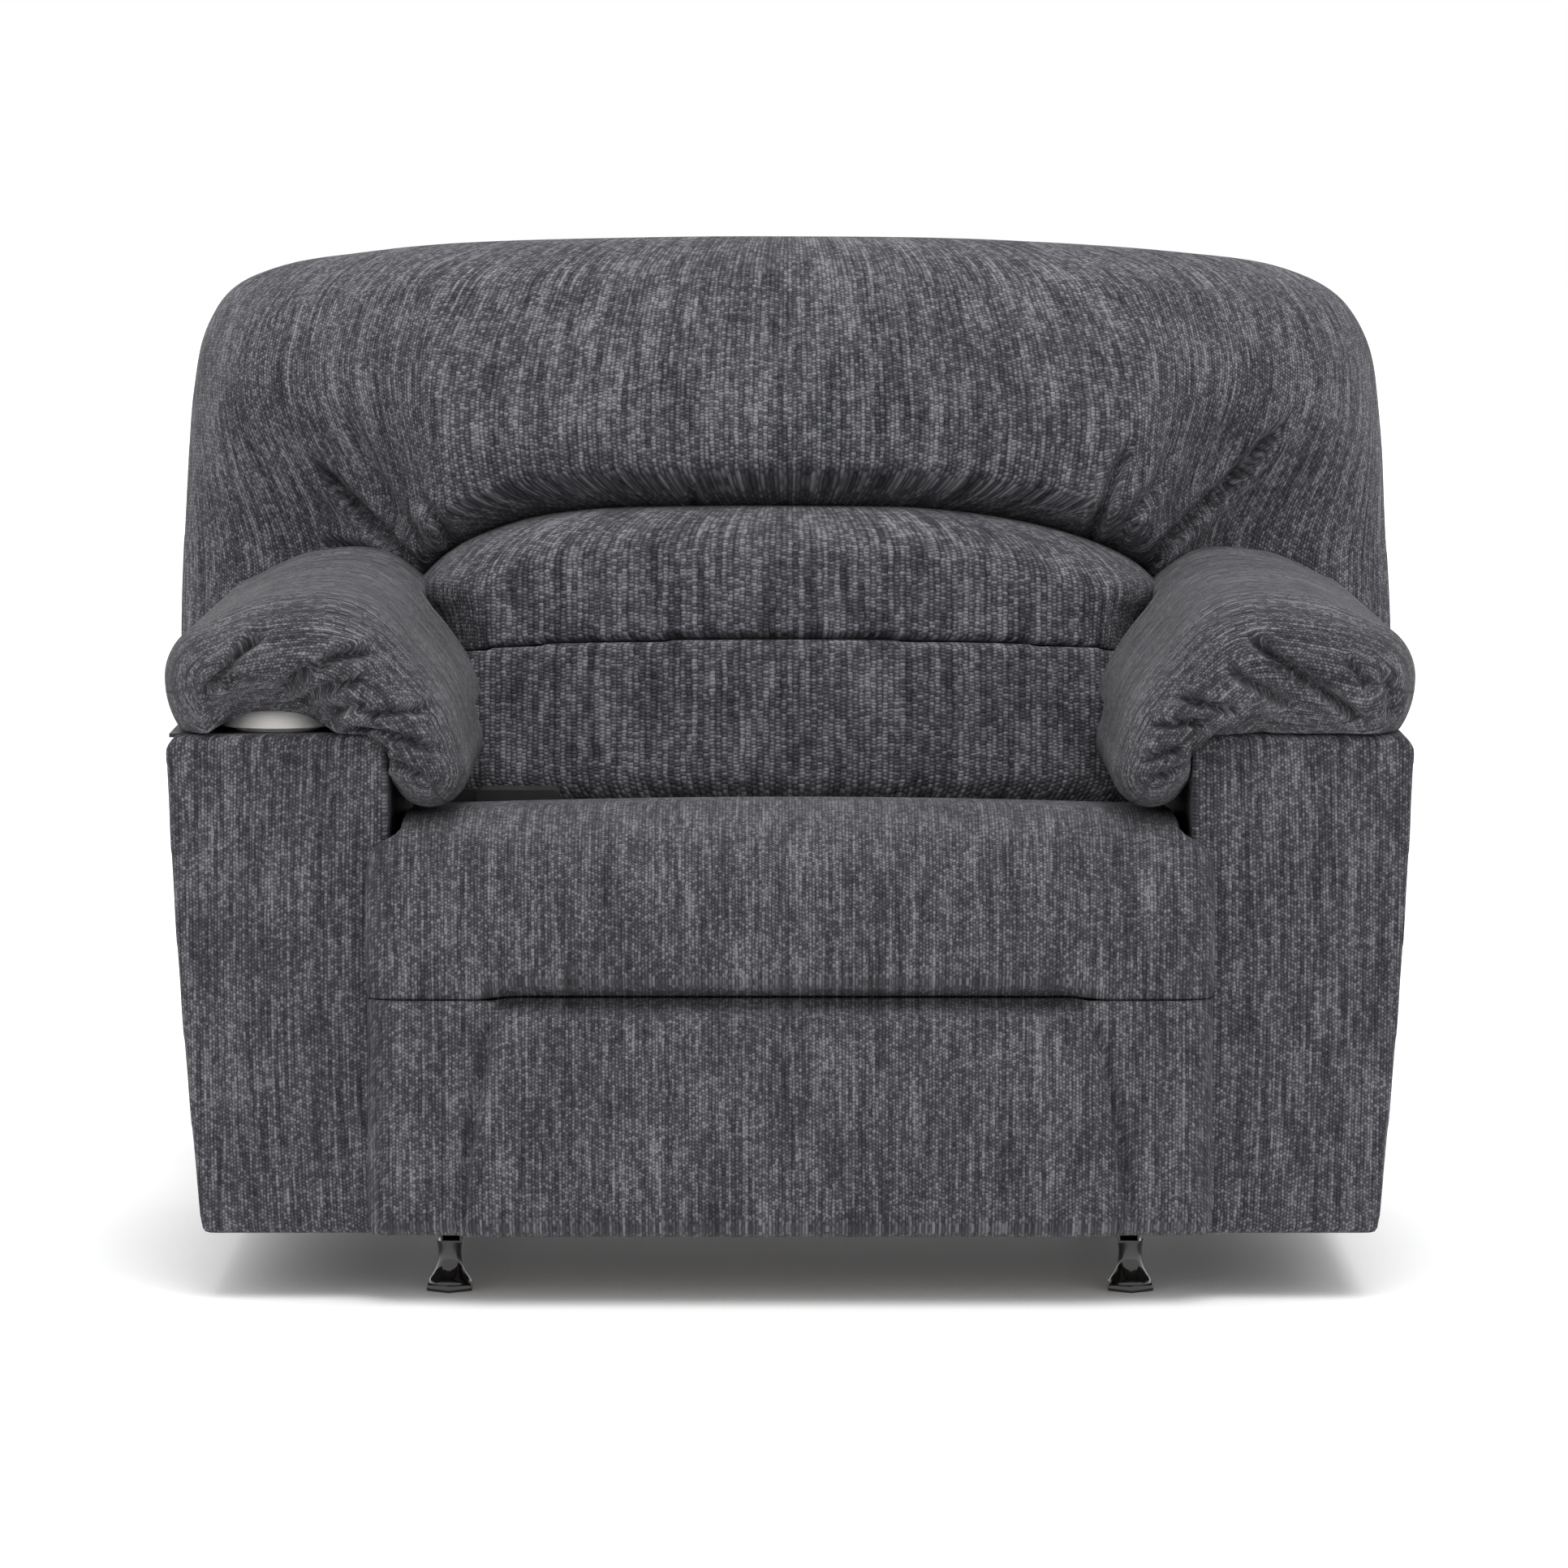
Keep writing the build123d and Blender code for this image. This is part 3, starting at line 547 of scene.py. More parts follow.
@dataclass(frozen=True)
class Plywood:
    """Bare sanded plywood: long wavering grain and thin plies."""

    name: str
    pale: tuple[float, float, float, float] = (0.58, 0.41, 0.24, 1.0)
    deep: tuple[float, float, float, float] = (0.36, 0.22, 0.11, 1.0)

    def make(self) -> bpy.types.Material:
        """Material of the wood."""
        material, graph, shader = blank(self.name)
        spot = graph.put("ShaderNodeTexCoord")
        grain = graph.noise(graph.stretch(spot.outputs["Object"], (3.0, 3.0, 60.0)), 3.0, 5.0, 0.6)
        pores = graph.noise(graph.stretch(spot.outputs["Object"], (20.0, 20.0, 500.0)), 2.0, 2.0)
        colour = graph.blend(graph.spread(grain, 0.3, 0.7), self.pale, self.deep)
        colour = graph.blend(graph.spread(pores, 0.6, 0.8, 0.0, 0.4), colour, self.deep)
        graph.feed(shader.inputs["Base Color"], colour)
        graph.feed(shader.inputs["Roughness"], graph.spread(pores, 0.3, 0.7, 0.55, 0.75))
        graph.feed(shader.inputs["Normal"], graph.bump(pores, 0.0002, 0.6))
        return material


class Finishes:
    """Every material of the chair, by the record's slots, and two copies of the one cloth with painted light:
    painted lighter on the back and darker elsewhere, standing in for how the light falls.
    """

    def __init__(self) -> None:
        """Builds the shared groups, then each material."""
        cloth, wear = cloth_group(), wear_group()
        self.cloth = Chenille("chenille").make(cloth)
        # Same chenille painted lighter for the back: painted light where the back's pillows show brighter than the
        # seat and arms.
        self.back_cloth_painted_lighter = Chenille("chenille_back", middle=0.055, light=0.21).make(cloth)
        self.slots: dict[str, bpy.types.Material] = {
            "chenille": self.cloth,
            "gloss_black_plastic": HardFinish("gloss_black_plastic", grey(0.006), (0.08, 0.2), coat=0.6,
                                              grain=0.00001).make(wear),
            "moulded_black": HardFinish("moulded_black", grey(0.014), (0.38, 0.52), grain=0.00008).make(wear),
            "steel_cup": HardFinish("steel_cup", (0.80, 0.77, 0.75, 1.0), (0.34, 0.5), metallic=0.25,
                                    stretch=(1.0, 1.0, 14.0)).make(wear),
            "steel_black": HardFinish("steel_black", grey(0.018, 0.1), (0.32, 0.5), coat=0.2).make(wear),
            "zinc_steel": HardFinish("zinc_steel", grey(0.52, 0.03), (0.3, 0.5), metallic=1.0).make(wear),
            "frame_wood": Plywood("frame_wood").make(),
        }

    def dress(self, obj: bpy.types.Object, slot: str, material: bpy.types.Material | None = None) -> None:
        """Gives a new piece the finish of a slot, or the material given."""
        obj.data.materials.clear()
        obj.data.materials.append(material or self.slots[slot])

    def dress_frame(self) -> None:
        """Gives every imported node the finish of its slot."""
        for row in frame["record"]["subparts"]:
            node = frame["nodes"][row["node"]]
            material = self.slots[row["material_slot"]]
            if not node.material_slots:
                node.data.materials.append(material)
            for slot in node.material_slots:
                slot.link = "OBJECT"
                slot.material = material


def finish_pad(obj: bpy.types.Object, finishes: Finishes, body: str, replaced: Sequence[str],
               material: bpy.types.Material | None = None) -> None:
    """Dresses a padded piece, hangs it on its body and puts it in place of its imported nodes."""
    soften(obj)
    finishes.dress(obj, "chenille", material)
    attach(obj, body)
    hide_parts(*replaced)
    LOG.info("%s: %d vertices on %s", obj.name, len(obj.data.vertices), body)


# ---------------------------------------------------------------- back
@dataclass
class BackRest:
    """Reclining back: horseshoe head pillow round an arched pair of lumbar cushions, and the outside back.

    Its own axes are X, depth behind the hinge's plane, and height up the slope from the hinge.
    """

    finishes: Finishes
    lean: float = math.radians(13.0)
    grid: float = 0.0045
    pillow_back: float = 0.048
    outer: tuple[Point2, ...] = (
        (-0.676, 0.02), (-0.686, 0.20), (-0.691, 0.314), (-0.686, 0.474), (-0.679, 0.588),
        (-0.666, 0.655), (-0.636, 0.702), (-0.578, 0.729), (-0.484, 0.744), (-0.382, 0.754),
        (-0.160, 0.761), (-0.006, 0.762), (0.210, 0.759), (0.442, 0.744), (0.560, 0.727),
        (0.626, 0.694), (0.660, 0.640), (0.673, 0.550), (0.678, 0.429), (0.683, 0.315),
        (0.680, 0.20), (0.674, 0.02),
    )
    arch: tuple[Point2, ...] = (
        (-0.402, 0.02), (-0.403, 0.29), (-0.440, 0.320), (-0.414, 0.356), (-0.373, 0.392),
        (-0.301, 0.421), (-0.229, 0.433), (-0.111, 0.437), (0.024, 0.437), (0.160, 0.434),
        (0.287, 0.414), (0.377, 0.381), (0.413, 0.351), (0.434, 0.318), (0.403, 0.29),
        (0.402, 0.02),
    )
    lumbar_seam: tuple[Point2, ...] = ((-0.398, 0.256), (-0.354, 0.259), (-0.246, 0.267), (-0.006, 0.271),
                                       (0.205, 0.268), (0.331, 0.262), (0.398, 0.257))
    folds: tuple[Fold, ...] = (
        Fold(((-0.408, 0.352), (-0.450, 0.400), (-0.482, 0.433), (-0.535, 0.488)), 0.015, 0.006),
        Fold(((-0.428, 0.362), (-0.470, 0.384), (-0.535, 0.402)), 0.012, 0.006),
        Fold(((-0.376, 0.388), (-0.395, 0.415), (-0.415, 0.440)), 0.010, 0.005),
        Fold(((-0.440, 0.345), (-0.500, 0.352), (-0.560, 0.350)), 0.008, 0.006),
        Fold(((-0.400, 0.372), (-0.440, 0.425), (-0.470, 0.480), (-0.500, 0.540)), 0.008, 0.007),
        Fold(((0.335, 0.392), (0.352, 0.430), (0.365, 0.465), (0.380, 0.495)), 0.012, 0.005),
        Fold(((0.395, 0.358), (0.450, 0.420), (0.510, 0.480), (0.565, 0.535)), 0.015, 0.006),
        Fold(((0.450, 0.352), (0.480, 0.362), (0.520, 0.370)), 0.011, 0.006),
        Fold(((0.418, 0.322), (0.450, 0.325), (0.480, 0.324)), 0.008, 0.006),
        Fold(((0.360, 0.385), (0.385, 0.420), (0.410, 0.450), (0.430, 0.500)), 0.009, 0.006),
        Fold(((-0.107, 0.436), (-0.108, 0.452)), 0.006, 0.006),
    )

    def out(self, points: np.ndarray) -> np.ndarray:
        """Places in the back's own axes, moved to the chair's."""
        x, d, w = points.T
        _, y0, z0 = HINGES["back_recline"]["pos_m"]
        cos, sin = math.cos(self.lean), math.sin(self.lean)
        return np.column_stack([x, y0 + d * cos + w * sin, z0 - d * sin + w * cos])

    def lay(self, obj: bpy.types.Object) -> None:
        """Stores the cloth's lie on the back: streaks run up it, and round its sides on to the outside."""
        x, d, w = places(obj).T
        weave(obj, x + d * np.clip(x / 0.4, -1, 1), w + 0.6 * d)

    def swell(self, obj: bpy.types.Object, full: Callable[[np.ndarray], np.ndarray],
              borders: Sequence[tuple[np.ndarray, Crown]], rear: float) -> None:
        """Fills a flat pad out to its depth, rounded down to its borders.

        Args:
            obj: a prism from its front at zero depth to its rear.
            full: gives the pad's full depth in front of the hinge's plane at places in its plane.
            borders: the pad's edges.
            rear: depth of its rear face behind that plane.
        """
        points = places(obj)
        flat = points[:, [0, 2]]
        front = np.clip((rear - points[:, 1]) / rear, 0, 1)
        moved, depth = crown(flat, full(flat), borders)
        points[:, [0, 2]] += (moved - flat) * front[:, None]
        points[:, 1] = rear - front * (rear + depth)
        place(obj, points)

    def head_depth(self, flat: np.ndarray) -> np.ndarray:
        """Full depth of the head pillow: deep above the arms, thin beside them."""
        x, w = np.abs(flat[:, 0]), flat[:, 1]
        beside = ease(x, 0.37, 0.50) * (1 - ease(w, 0.36, 0.60))
        roll = 0.135 + 0.016 * np.exp(-(((w - 0.52) / 0.10) ** 2)) - 0.03 * ease(w, 0.60, 0.76)
        roll -= 0.035 * ease(x, 0.40, 0.66)
        return roll * (1 - beside) + 0.043 * beside

    def lumbar_depth(self, flat: np.ndarray) -> np.ndarray:
        """Full depth of the lumbar cushions, a little fuller in the middle."""
        return 0.180 + 0.014 * np.cos(np.clip(flat[:, 0] / 0.42, -1, 1) * np.pi / 2)

    def build_head(self) -> None:
        """Horseshoe head pillow."""
        outer, arch = smooth_line(self.outer), smooth_line(self.arch)
        pad = quilt(prism("head_pillow_cover", np.vstack([outer, arch[::-1]]), 0.0, self.pillow_back),
                    self.grid, 3)
        self.swell(pad, self.head_depth, ((outer, Crown(0.085, -0.004)), (arch, Crown(0.04, 0.06))),
                   self.pillow_back)
        points = places(pad)
        press(pad, self.folds, points[:, [0, 2]], ease(-points[:, 1], 0.0, 0.04))
        self.lay(pad)
        points = self.out(places(pad))
        legs = (points[:, 2] < 0.48) & (np.abs(points[:, 0]) < 0.410)
        points[:, 0] = np.where(legs, np.sign(points[:, 0]) * 0.410, points[:, 0])
        place(pad, points)
        finish_pad(pad, self.finishes, "back", ["head_pillow"], self.finishes.back_cloth_painted_lighter)

    def build_lumbar(self) -> None:
        """Arched upper cushion and straight lower cushion, with the seam between them."""
        seam_crown = Crown(0.010, 0.184)
        seam = smooth_line(self.lumbar_seam)
        arch = smooth_line(self.arch)
        arch = arch[(arch[:, 1] > self.lumbar_seam[0][1] + 0.004)]
        pad = quilt(prism("upper_lumbar_cover", np.vstack([arch, seam[::-1]]), 0.0, self.pillow_back),
                    self.grid, 3)
        self.swell(pad, self.lumbar_depth, ((arch, Crown(0.075, 0.075)), (seam, seam_crown)),
                   self.pillow_back)
        self.lay(pad)
        place(pad, self.out(places(pad)))
        finish_pad(pad, self.finishes, "back", ["upper_lumbar_cushion"], self.finishes.back_cloth_painted_lighter)

        half, foot = 0.396, 0.062
        rim = np.array([(-half, seam[0][1]), (-half, foot), (half, foot), (half, seam[-1][1])])
        pad = quilt(prism("lower_lumbar_cover", np.vstack([rim, seam[::-1][1:-1]]), 0.0, self.pillow_back),
                    self.grid, 3)
        borders = ((seam, seam_crown), (rim[:2], Crown(0.05, 0.10)), (rim[2:], Crown(0.05, 0.10)),
                   (rim[1:3], Crown(0.06, 0.12)))
        self.swell(pad, self.lumbar_depth, borders, self.pillow_back)
        self.lay(pad)
        place(pad, self.out(places(pad)))
        finish_pad(pad, self.finishes, "back", ["lower_lumbar_cushion"], self.finishes.back_cloth_painted_lighter)

    def build_outside(self) -> None:
        """Flat padded outside back with a rounded rim and a skirt behind the seat."""
        front, rear, skirt_half, skirt_foot, skirt_thick = 0.052, 0.123, 0.374, -0.145, 0.014
        rim = smooth_line(self.outer) * (0.99, 0.99)
        skirt = np.array([(skirt_half, 0.012), (skirt_half, skirt_foot),
                          (-skirt_half, skirt_foot), (-skirt_half, 0.012)])
        pad = quilt(prism("outside_back_cover_cloth", np.vstack([rim, skirt]), 0.0, rear - front), 0.007, 4)
        points = places(pad)
        flat = points[:, [0, 2]]
        back_share = np.clip(points[:, 1] / (rear - front), 0, 1)
        moved, depth = crown(flat, np.full(len(flat), rear), ((rim, Crown(0.05, rear - 0.035)),))
        low = 1 - ease(flat[:, 1], -0.012, 0.02)
        near = front * (1 - low) + (rear - skirt_thick) * low
        points[:, [0, 2]] += (moved - flat) * back_share[:, None]
        points[:, 1] = near + back_share * (np.maximum(depth, near + skirt_thick * 0.8) - near)
        place(pad, points)
        x, d, w = places(pad).T
        weave(pad, x + d * np.clip(x / 0.4, -1, 1), w)
        place(pad, self.out(places(pad)))
        finish_pad(pad, self.finishes, "back", ["outside_back_cover"])

    def build(self) -> None:
        """All the soft pieces of the back."""
        self.build_head()
        self.build_lumbar()
        self.build_outside()


# ---------------------------------------------------------------- seat and footrest
@dataclass
class Seat:
    """Seat cushion with a deep front roll that passes in front of the arms."""

    finishes: Finishes
    half: float = 0.434
    narrow: float = 0.404
    roll_back: float = -0.476
    profile: tuple[Point2, ...] = (
        (-0.502, 0.3165), (-0.510, 0.350), (-0.512, 0.410), (-0.506, 0.455), (-0.482, 0.487),
        (-0.425, 0.499), (-0.30, 0.492), (-0.15, 0.478), (0.00, 0.461), (0.022, 0.452),
    )
    under: tuple[Point2, ...] = (
        (0.022, 0.352), (-0.432, 0.352), (-0.434, 0.292), (-0.446, 0.292), (-0.450, 0.3165),
    )

    def build(self) -> None:
        """Cushion swept across the chair, narrowed between the arms and crowned at its sides."""
        outline = np.vstack([smooth_line(self.profile), self.under])
        pad = prism("seat_cushion_cover", outline, -self.half, self.half, along_x=True)
        for side in (-1, 1):
            low = (min(side * self.narrow, side * 0.5), self.roll_back, 0.2)
            high = (max(side * self.narrow, side * 0.5), 0.2, 0.8)
            carve(pad, brick("seat_side_cut", low, high))
            near, far = sorted((side * 0.350, side * 0.394))
            carve(pad, brick("link_space", (near, -0.490, 0.28), (far, -0.30, 0.331)))
        carve(pad, brick("lever_space", (-0.5, -0.10, 0.3), (-0.386, 0.2, 0.8)))
        quilt(pad, 0.005, 2)
        points = places(pad)
        x, y, z = points.T
        edge = self.half - np.abs(x)
        round_off = 1 - np.sqrt(np.clip(1 - (1 - np.clip(edge / 0.045, 0, 1)) ** 2, 0, 1))
        roll = 1 - ease(y, -0.47, -0.44)
        height = ease(z, 0.40, 0.50)
        points[:, 2] -= 0.032 * round_off * height * roll
        points[:, 1] += 0.026 * round_off * (1 - ease(y, -0.50, -0.45))
        tuck_depth, tuck_height, tuck_spread = 0.030, 0.3165, 0.013
        tuck = tuck_depth * np.exp(-((z - tuck_height) / tuck_spread) ** 2)
        points[:, 1] += tuck * (1 - ease(np.abs(x), 0.28, 0.325)) * (y < -0.47)
        points[:, 0] -= np.sign(x) * 0.012 * ease(z, 0.44, 0.52) * ease(np.abs(x), 0.36, 0.43)
        points[:, 2] += 0.010 * np.cos(np.clip(x / 0.42, -1, 1) * np.pi / 2) * height * ease(y, -0.50, -0.40)
        place(pad, points)
        x, y, z = places(pad).T
        weave(pad, x, z + y)
        finish_pad(pad, self.finishes, "seat_body", ["seat_cushion"])


@dataclass
class Footrest:
    """Padded footrest that closes the front under the seat."""

    finishes: Finishes
    half: float = 0.434
    foot: float = 0.068
    top: float = 0.315
    front: float = -0.506
    rear: float = -0.450
    insets: tuple[Fold, ...] = (
        Fold(((-0.304, 0.308), (-0.317, 0.235), (-0.330, 0.160), (-0.338, 0.075)), 0.008, 0.0045, 0.3, 0.1),
        Fold(((0.308, 0.306), (0.329, 0.219), (0.342, 0.140), (0.350, 0.075)), 0.008, 0.0045, 0.3, 0.1),
    )

    def build(self) -> None:
        """Front pad with its inset seams."""
        corner = 0.03
        outline = [(-self.half, self.top), (-self.half, self.foot + corner),
                   (-self.half + corner * 0.3, self.foot + 0.3 * corner),
                   (-self.half + corner, self.foot), (self.half - corner, self.foot),
                   (self.half - corner * 0.3, self.foot + 0.3 * corner),
                   (self.half, self.foot + corner), (self.half, self.top)]
        pad = quilt(prism("footrest_pad_cover", outline, self.front, self.rear), 0.0036, 2)
        points = places(pad)
        x, y, z = points.T
        share = np.clip((self.rear - y) / (self.rear - self.front), 0, 1)
        flat = np.column_stack([x, z])
        depth = np.full(len(flat), 0.056)
        sides = [np.array([(-self.half, self.top + 0.1), (-self.half, self.foot - 0.1)]),
                 np.array([(self.half, self.top + 0.1), (self.half, self.foot - 0.1)]),
                 np.array([(-self.half, self.foot), (self.half, self.foot)])]
        moved, depth = crown(flat, depth, [(line, Crown(0.035, 0.016)) for line in sides])
        edge = 0.304 + 0.15 * (self.top - z)
        middle = 1 - ease(np.abs(x), edge - 0.014, edge + 0.004)
        belly = np.sin(np.clip((self.top - z) / 0.22, 0, 1) * np.pi / 2)
        depth += middle * (0.010 * belly - 0.030 * np.exp(-((self.top - z) / 0.009) ** 2))
        points[:, [0, 2]] += (moved - flat) * share[:, None]
        points[:, 1] = self.rear - share * depth
        points[:, 2] -= 0.030 * (1 - ease(share, 0.0, 0.75)) * ease(z, 0.27, 0.312)
        points[:, 2] += 0.0012 * ease(np.abs(x), 0.30, 0.33) * ease(z, 0.305, 0.314)
        place(pad, points)
        press(pad, self.insets, places(pad)[:, [0, 2]], ease(-facing(pad)[:, 1], 0.3, 0.7))
        x, y, z = places(pad).T
        weave(pad, x, z + y)
        finish_pad(pad, self.finishes, "footrest", ["footrest_pad"])


# ---------------------------------------------------------------- arms
@dataclass(frozen=True)
class SpinePoint:
    """Place on an arm pillow's cross-section spine and the pillow's radius there."""

    x: float
    z: float
    radius: float


@dataclass
class Arm:
    """Flared padded arm with a saddle pillow; the sitter's right one opens over a cup holder and tray."""

    finishes: Finishes
    side: Side
    inner: float = 0.410
    out_low: float = 0.605
    out_high: float = 0.637
    low: float = 0.070
    high: float = 0.585
    front: float = -0.470
    heel: float = 0.165
    rear_offset: float = -0.056
    pillow_front: float = -0.487
    dome: float = 0.092
    cup_arch: float = 0.066
    cup_rise: float = 0.022
    lean: float = math.radians(13.0)
    spine: tuple[SpinePoint, ...] = (SpinePoint(0.585, 0.640, 0.058), SpinePoint(0.530, 0.653, 0.070),
                                     SpinePoint(0.470, 0.655, 0.071), SpinePoint(0.432, 0.628, 0.060),
                                     SpinePoint(0.394, 0.588, 0.052), SpinePoint(0.370, 0.545, 0.040))
    folds: dict[Side, tuple[Fold, ...]] = field(default_factory=lambda: {
        Side.RIGHT: (
            Fold(((0.600, 0.628), (0.578, 0.646), (0.562, 0.669), (0.532, 0.692)), 0.0155, 0.005),
            Fold(((0.523, 0.620), (0.510, 0.637), (0.492, 0.652), (0.456, 0.668), (0.415, 0.672)),
                 0.0155, 0.005),
            Fold(((0.511, 0.617), (0.487, 0.628), (0.465, 0.637), (0.425, 0.648)), 0.0124, 0.0042),
            Fold(((0.470, 0.610), (0.447, 0.616), (0.425, 0.618)), 0.0093, 0.0042),
            Fold(((0.445, 0.606), (0.416, 0.609), (0.398, 0.612), (0.362, 0.612)), 0.0109, 0.0042),
            Fold(((0.460, 0.588), (0.442, 0.591), (0.418, 0.589), (0.389, 0.583), (0.352, 0.566)),
                 0.0124, 0.0042),
            Fold(((0.420, 0.560), (0.398, 0.556), (0.370, 0.545)), 0.0093, 0.0042),
        ),
        Side.LEFT: (
            Fold(((0.460, 0.690), (0.490, 0.668), (0.517, 0.650), (0.590, 0.596)), 0.017, 0.005),
            Fold(((0.440, 0.656), (0.470, 0.640), (0.512, 0.614)), 0.0139, 0.005),
            Fold(((0.390, 0.628), (0.425, 0.618), (0.462, 0.610)), 0.0124, 0.0042),
            Fold(((0.366, 0.596), (0.395, 0.599), (0.425, 0.601)), 0.0124, 0.0042),
            Fold(((0.352, 0.560), (0.380, 0.568), (0.405, 0.577)), 0.0109, 0.0042),
            Fold(((0.365, 0.543), (0.398, 0.555)), 0.0078, 0.0042),
            Fold(((0.560, 0.668), (0.575, 0.652), (0.590, 0.632)), 0.0109, 0.0042),
            Fold(((0.600, 0.655), (0.612, 0.630), (0.612, 0.600)), 0.0093, 0.005),
        ),
    })

    def name(self, piece: str) -> str:
        """Name of one of this arm's pieces."""
        return f"{self.side.name.lower()}_arm_{piece}"

    def beyond(self, offset: float, way: float = 1.2) -> bpy.types.Object:
        """Cutter behind a plane that leans like the back, or in front of it.

        Args:
            offset: how far the plane lies behind the back's hinge.
            way: Y where the cutter ends, ahead of the plane or behind it.

        Returns:
            The cutter.
        """
        _, y0, z0 = HINGES["back_recline"]["pos_m"]
        tangent = math.tan(self.lean)
        start = y0 + offset / math.cos(self.lean)
        low, high = -0.6, 0.8
        outline = [(start + low * tangent, z0 + low), (start + high * tangent, z0 + high),
                   (way, z0 + high), (way, z0 + low)]
        return prism("slanted_space", outline, -0.9, 0.9, along_x=True)

    def build_cover(self) -> None:
        """Cloth cover of the arm's box."""
        outline = [(self.inner, self.low), (self.out_low, self.low), (self.out_high, self.high - 0.012),
                   (self.out_high - 0.010, self.high), (self.inner + 0.016, self.high + 0.002),
                    (self.inner, self.high - 0.014)]
        box = prism(self.name("cover"), [(x * self.side.value, z) for x, z in outline], self.front, 0.30)
        carve(box, self.rear_space())
        if self.side is Side.RIGHT:
            wall = 0.016
            carve(box, brick("tray_space", (-self.out_low + wall, self.front + 0.028, 0.42),
                             (-self.inner - wall, 0.14, 0.7)))
        quilt(box, 0.006, 4)
        points = places(box)
        x, y, z = points.T
        belly = np.sin(np.clip((z - self.low) / (self.high - self.low), 0, 1) * np.pi)
        across = np.sin(np.clip((np.abs(x) - self.inner) / (self.out_low - self.inner), 0, 1) * np.pi)
        front_face = 1 - ease(y, self.front, self.front + 0.02)
        points[:, 1] -= 0.006 * belly * across * front_face
        outer_face = ease(np.abs(x), 0.57, 0.60)
        points[:, 0] += self.side.value * 0.004 * belly * outer_face
        place(box, points)
        x, y, z = places(box).T
        weave(box, x + self.side.value * y, z)
        replaced = [self.name(part) for part in ("front_panel", "outer_panel", "inner_panel", "rear_panel")]
        if self.side is Side.LEFT:
            replaced.append("left_arm_top_board")
        finish_pad(box, self.finishes, "seat_body", replaced)

    def rear_space(self) -> bpy.types.Object:
        """Cutter behind the arm: along the back's lean, then straight down from the heel."""
        _, y0, z0 = HINGES["back_recline"]["pos_m"]
        tangent = math.tan(self.lean)
        start = y0 + self.rear_offset / math.cos(self.lean)
        bend = z0 + (self.heel - start) / tangent
        outline = [(self.heel, -0.2), (self.heel, bend), (start + 0.6 * tangent, z0 + 0.6),
                   (1.0, z0 + 0.6), (1.0, -0.2)]
        return prism("rear_space", outline, -0.9, 0.9, along_x=True)

    def section(self) -> tuple[np.ndarray, np.ndarray]:
        """Outline of the pillow's cross-section and its spine, as lines in X from the middle and Z."""
        line = smooth_line([(p.x, p.z) for p in self.spine], 8)
        radii = self.radius_at(reach(line, line).share, line)
        way = np.gradient(line, axis=0)
        way /= np.linalg.norm(way, axis=1)[:, None]
        across = np.column_stack([-way[:, 1], way[:, 0]])
        first, last = line + across * radii[:, None], line - across * radii[:, None]
        turns = np.linspace(0, np.pi, 12)[1:-1]
        cap_end = [line[-1] + radii[-1] * (across[-1] * math.cos(a) + way[-1] * math.sin(a)) for a in turns]
        cap_start = [line[0] + radii[0] * (-across[0] * math.cos(a) - way[0] * math.sin(a)) for a in turns]
        outline = np.vstack([first, cap_end, last[::-1], cap_start])
        near = reach(outline, line)
        return outline[np.abs(near.gap / self.radius_at(near.share, line) - 1) < 0.01], line

    def radius_at(self, share: np.ndarray, line: np.ndarray) -> np.ndarray:
        """Pillow radius at shares of the spine's length."""
        corners = np.array([(p.x, p.z) for p in self.spine])
        marks = reach(corners, line).share
        return np.interp(share, marks, [p.radius for p in self.spine])

    def shape_pillow(self, pad: bpy.types.Object) -> None:
        """Domes the pillow's front, seats it on the arm and folds it."""
        points = places(pad)
        sign = self.side.value
        flat = np.column_stack([points[:, 0] * sign, points[:, 2]])
        _, line = self.section()
        near = reach(flat, line)
        radius = self.radius_at(near.share, line)
        share = np.clip(near.gap / radius, 0, 1)
        past = np.maximum(points[:, 1] - self.pillow_front, 0)
        run = past - (1 - share) * radius
        turn = np.pi / 2 * np.clip((run + radius) / (radius + self.dome), 0, 1)
        inside = run < self.dome
        scale = np.where(inside, np.sin(turn) ** 0.62, share)
        way = (flat - near.foot) / np.maximum(near.gap, 1e-6)[:, None]
        new = near.foot + way * (scale * radius)[:, None]
        flat = np.where(inside[:, None], new, flat)
        points[:, 1] = np.where(inside, self.pillow_front + self.dome * (1 - np.cos(turn)), points[:, 1])
        below = near.foot[:, 1] - flat[:, 1]
        flat[:, 1] -= 0.35 * np.maximum(below, 0) * (near.foot[:, 0] > 0.40)
        rest = np.where(flat[:, 0] > 0.408, self.high + 0.002, 0.0)
        if self.side is Side.RIGHT:
            cup_low, cup_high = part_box("cup_holder")
            middle = (cup_low + cup_high) / 2
            reach_x = (flat[:, 0] * sign - middle.x) / self.cup_arch
            behind = ease(points[:, 1], -0.455, -0.43)
            bow = np.clip(1 - np.abs(reach_x) ** (2 + 8 * behind), 0, 1) ** (1 - 0.5 * behind)
            arch = self.high + 0.002 + self.cup_rise * bow
            over_cup = (np.abs(reach_x) < 1) & (points[:, 1] < middle.y + 0.065)
            rest = np.where(over_cup, np.maximum(rest, arch), rest)
            lip = np.clip(1.3 - reach_x**2, 0, 1) * (1 - ease(flat[:, 1], 0.600, 0.655))
            points[:, 1] = np.maximum(points[:, 1], self.pillow_front + 0.040 * lip)
        sunk = np.maximum(rest - flat[:, 1], 0)
        aside = np.where(flat[:, 0] > 0.408, flat[:, 0] - 0.408, 0.0)
        sideways = (aside < sunk) & (flat[:, 0] < 0.44)
        flat[:, 0] -= np.where(sideways, aside, 0.0)
        flat[:, 1] += np.where(sideways, 0.0, sunk)
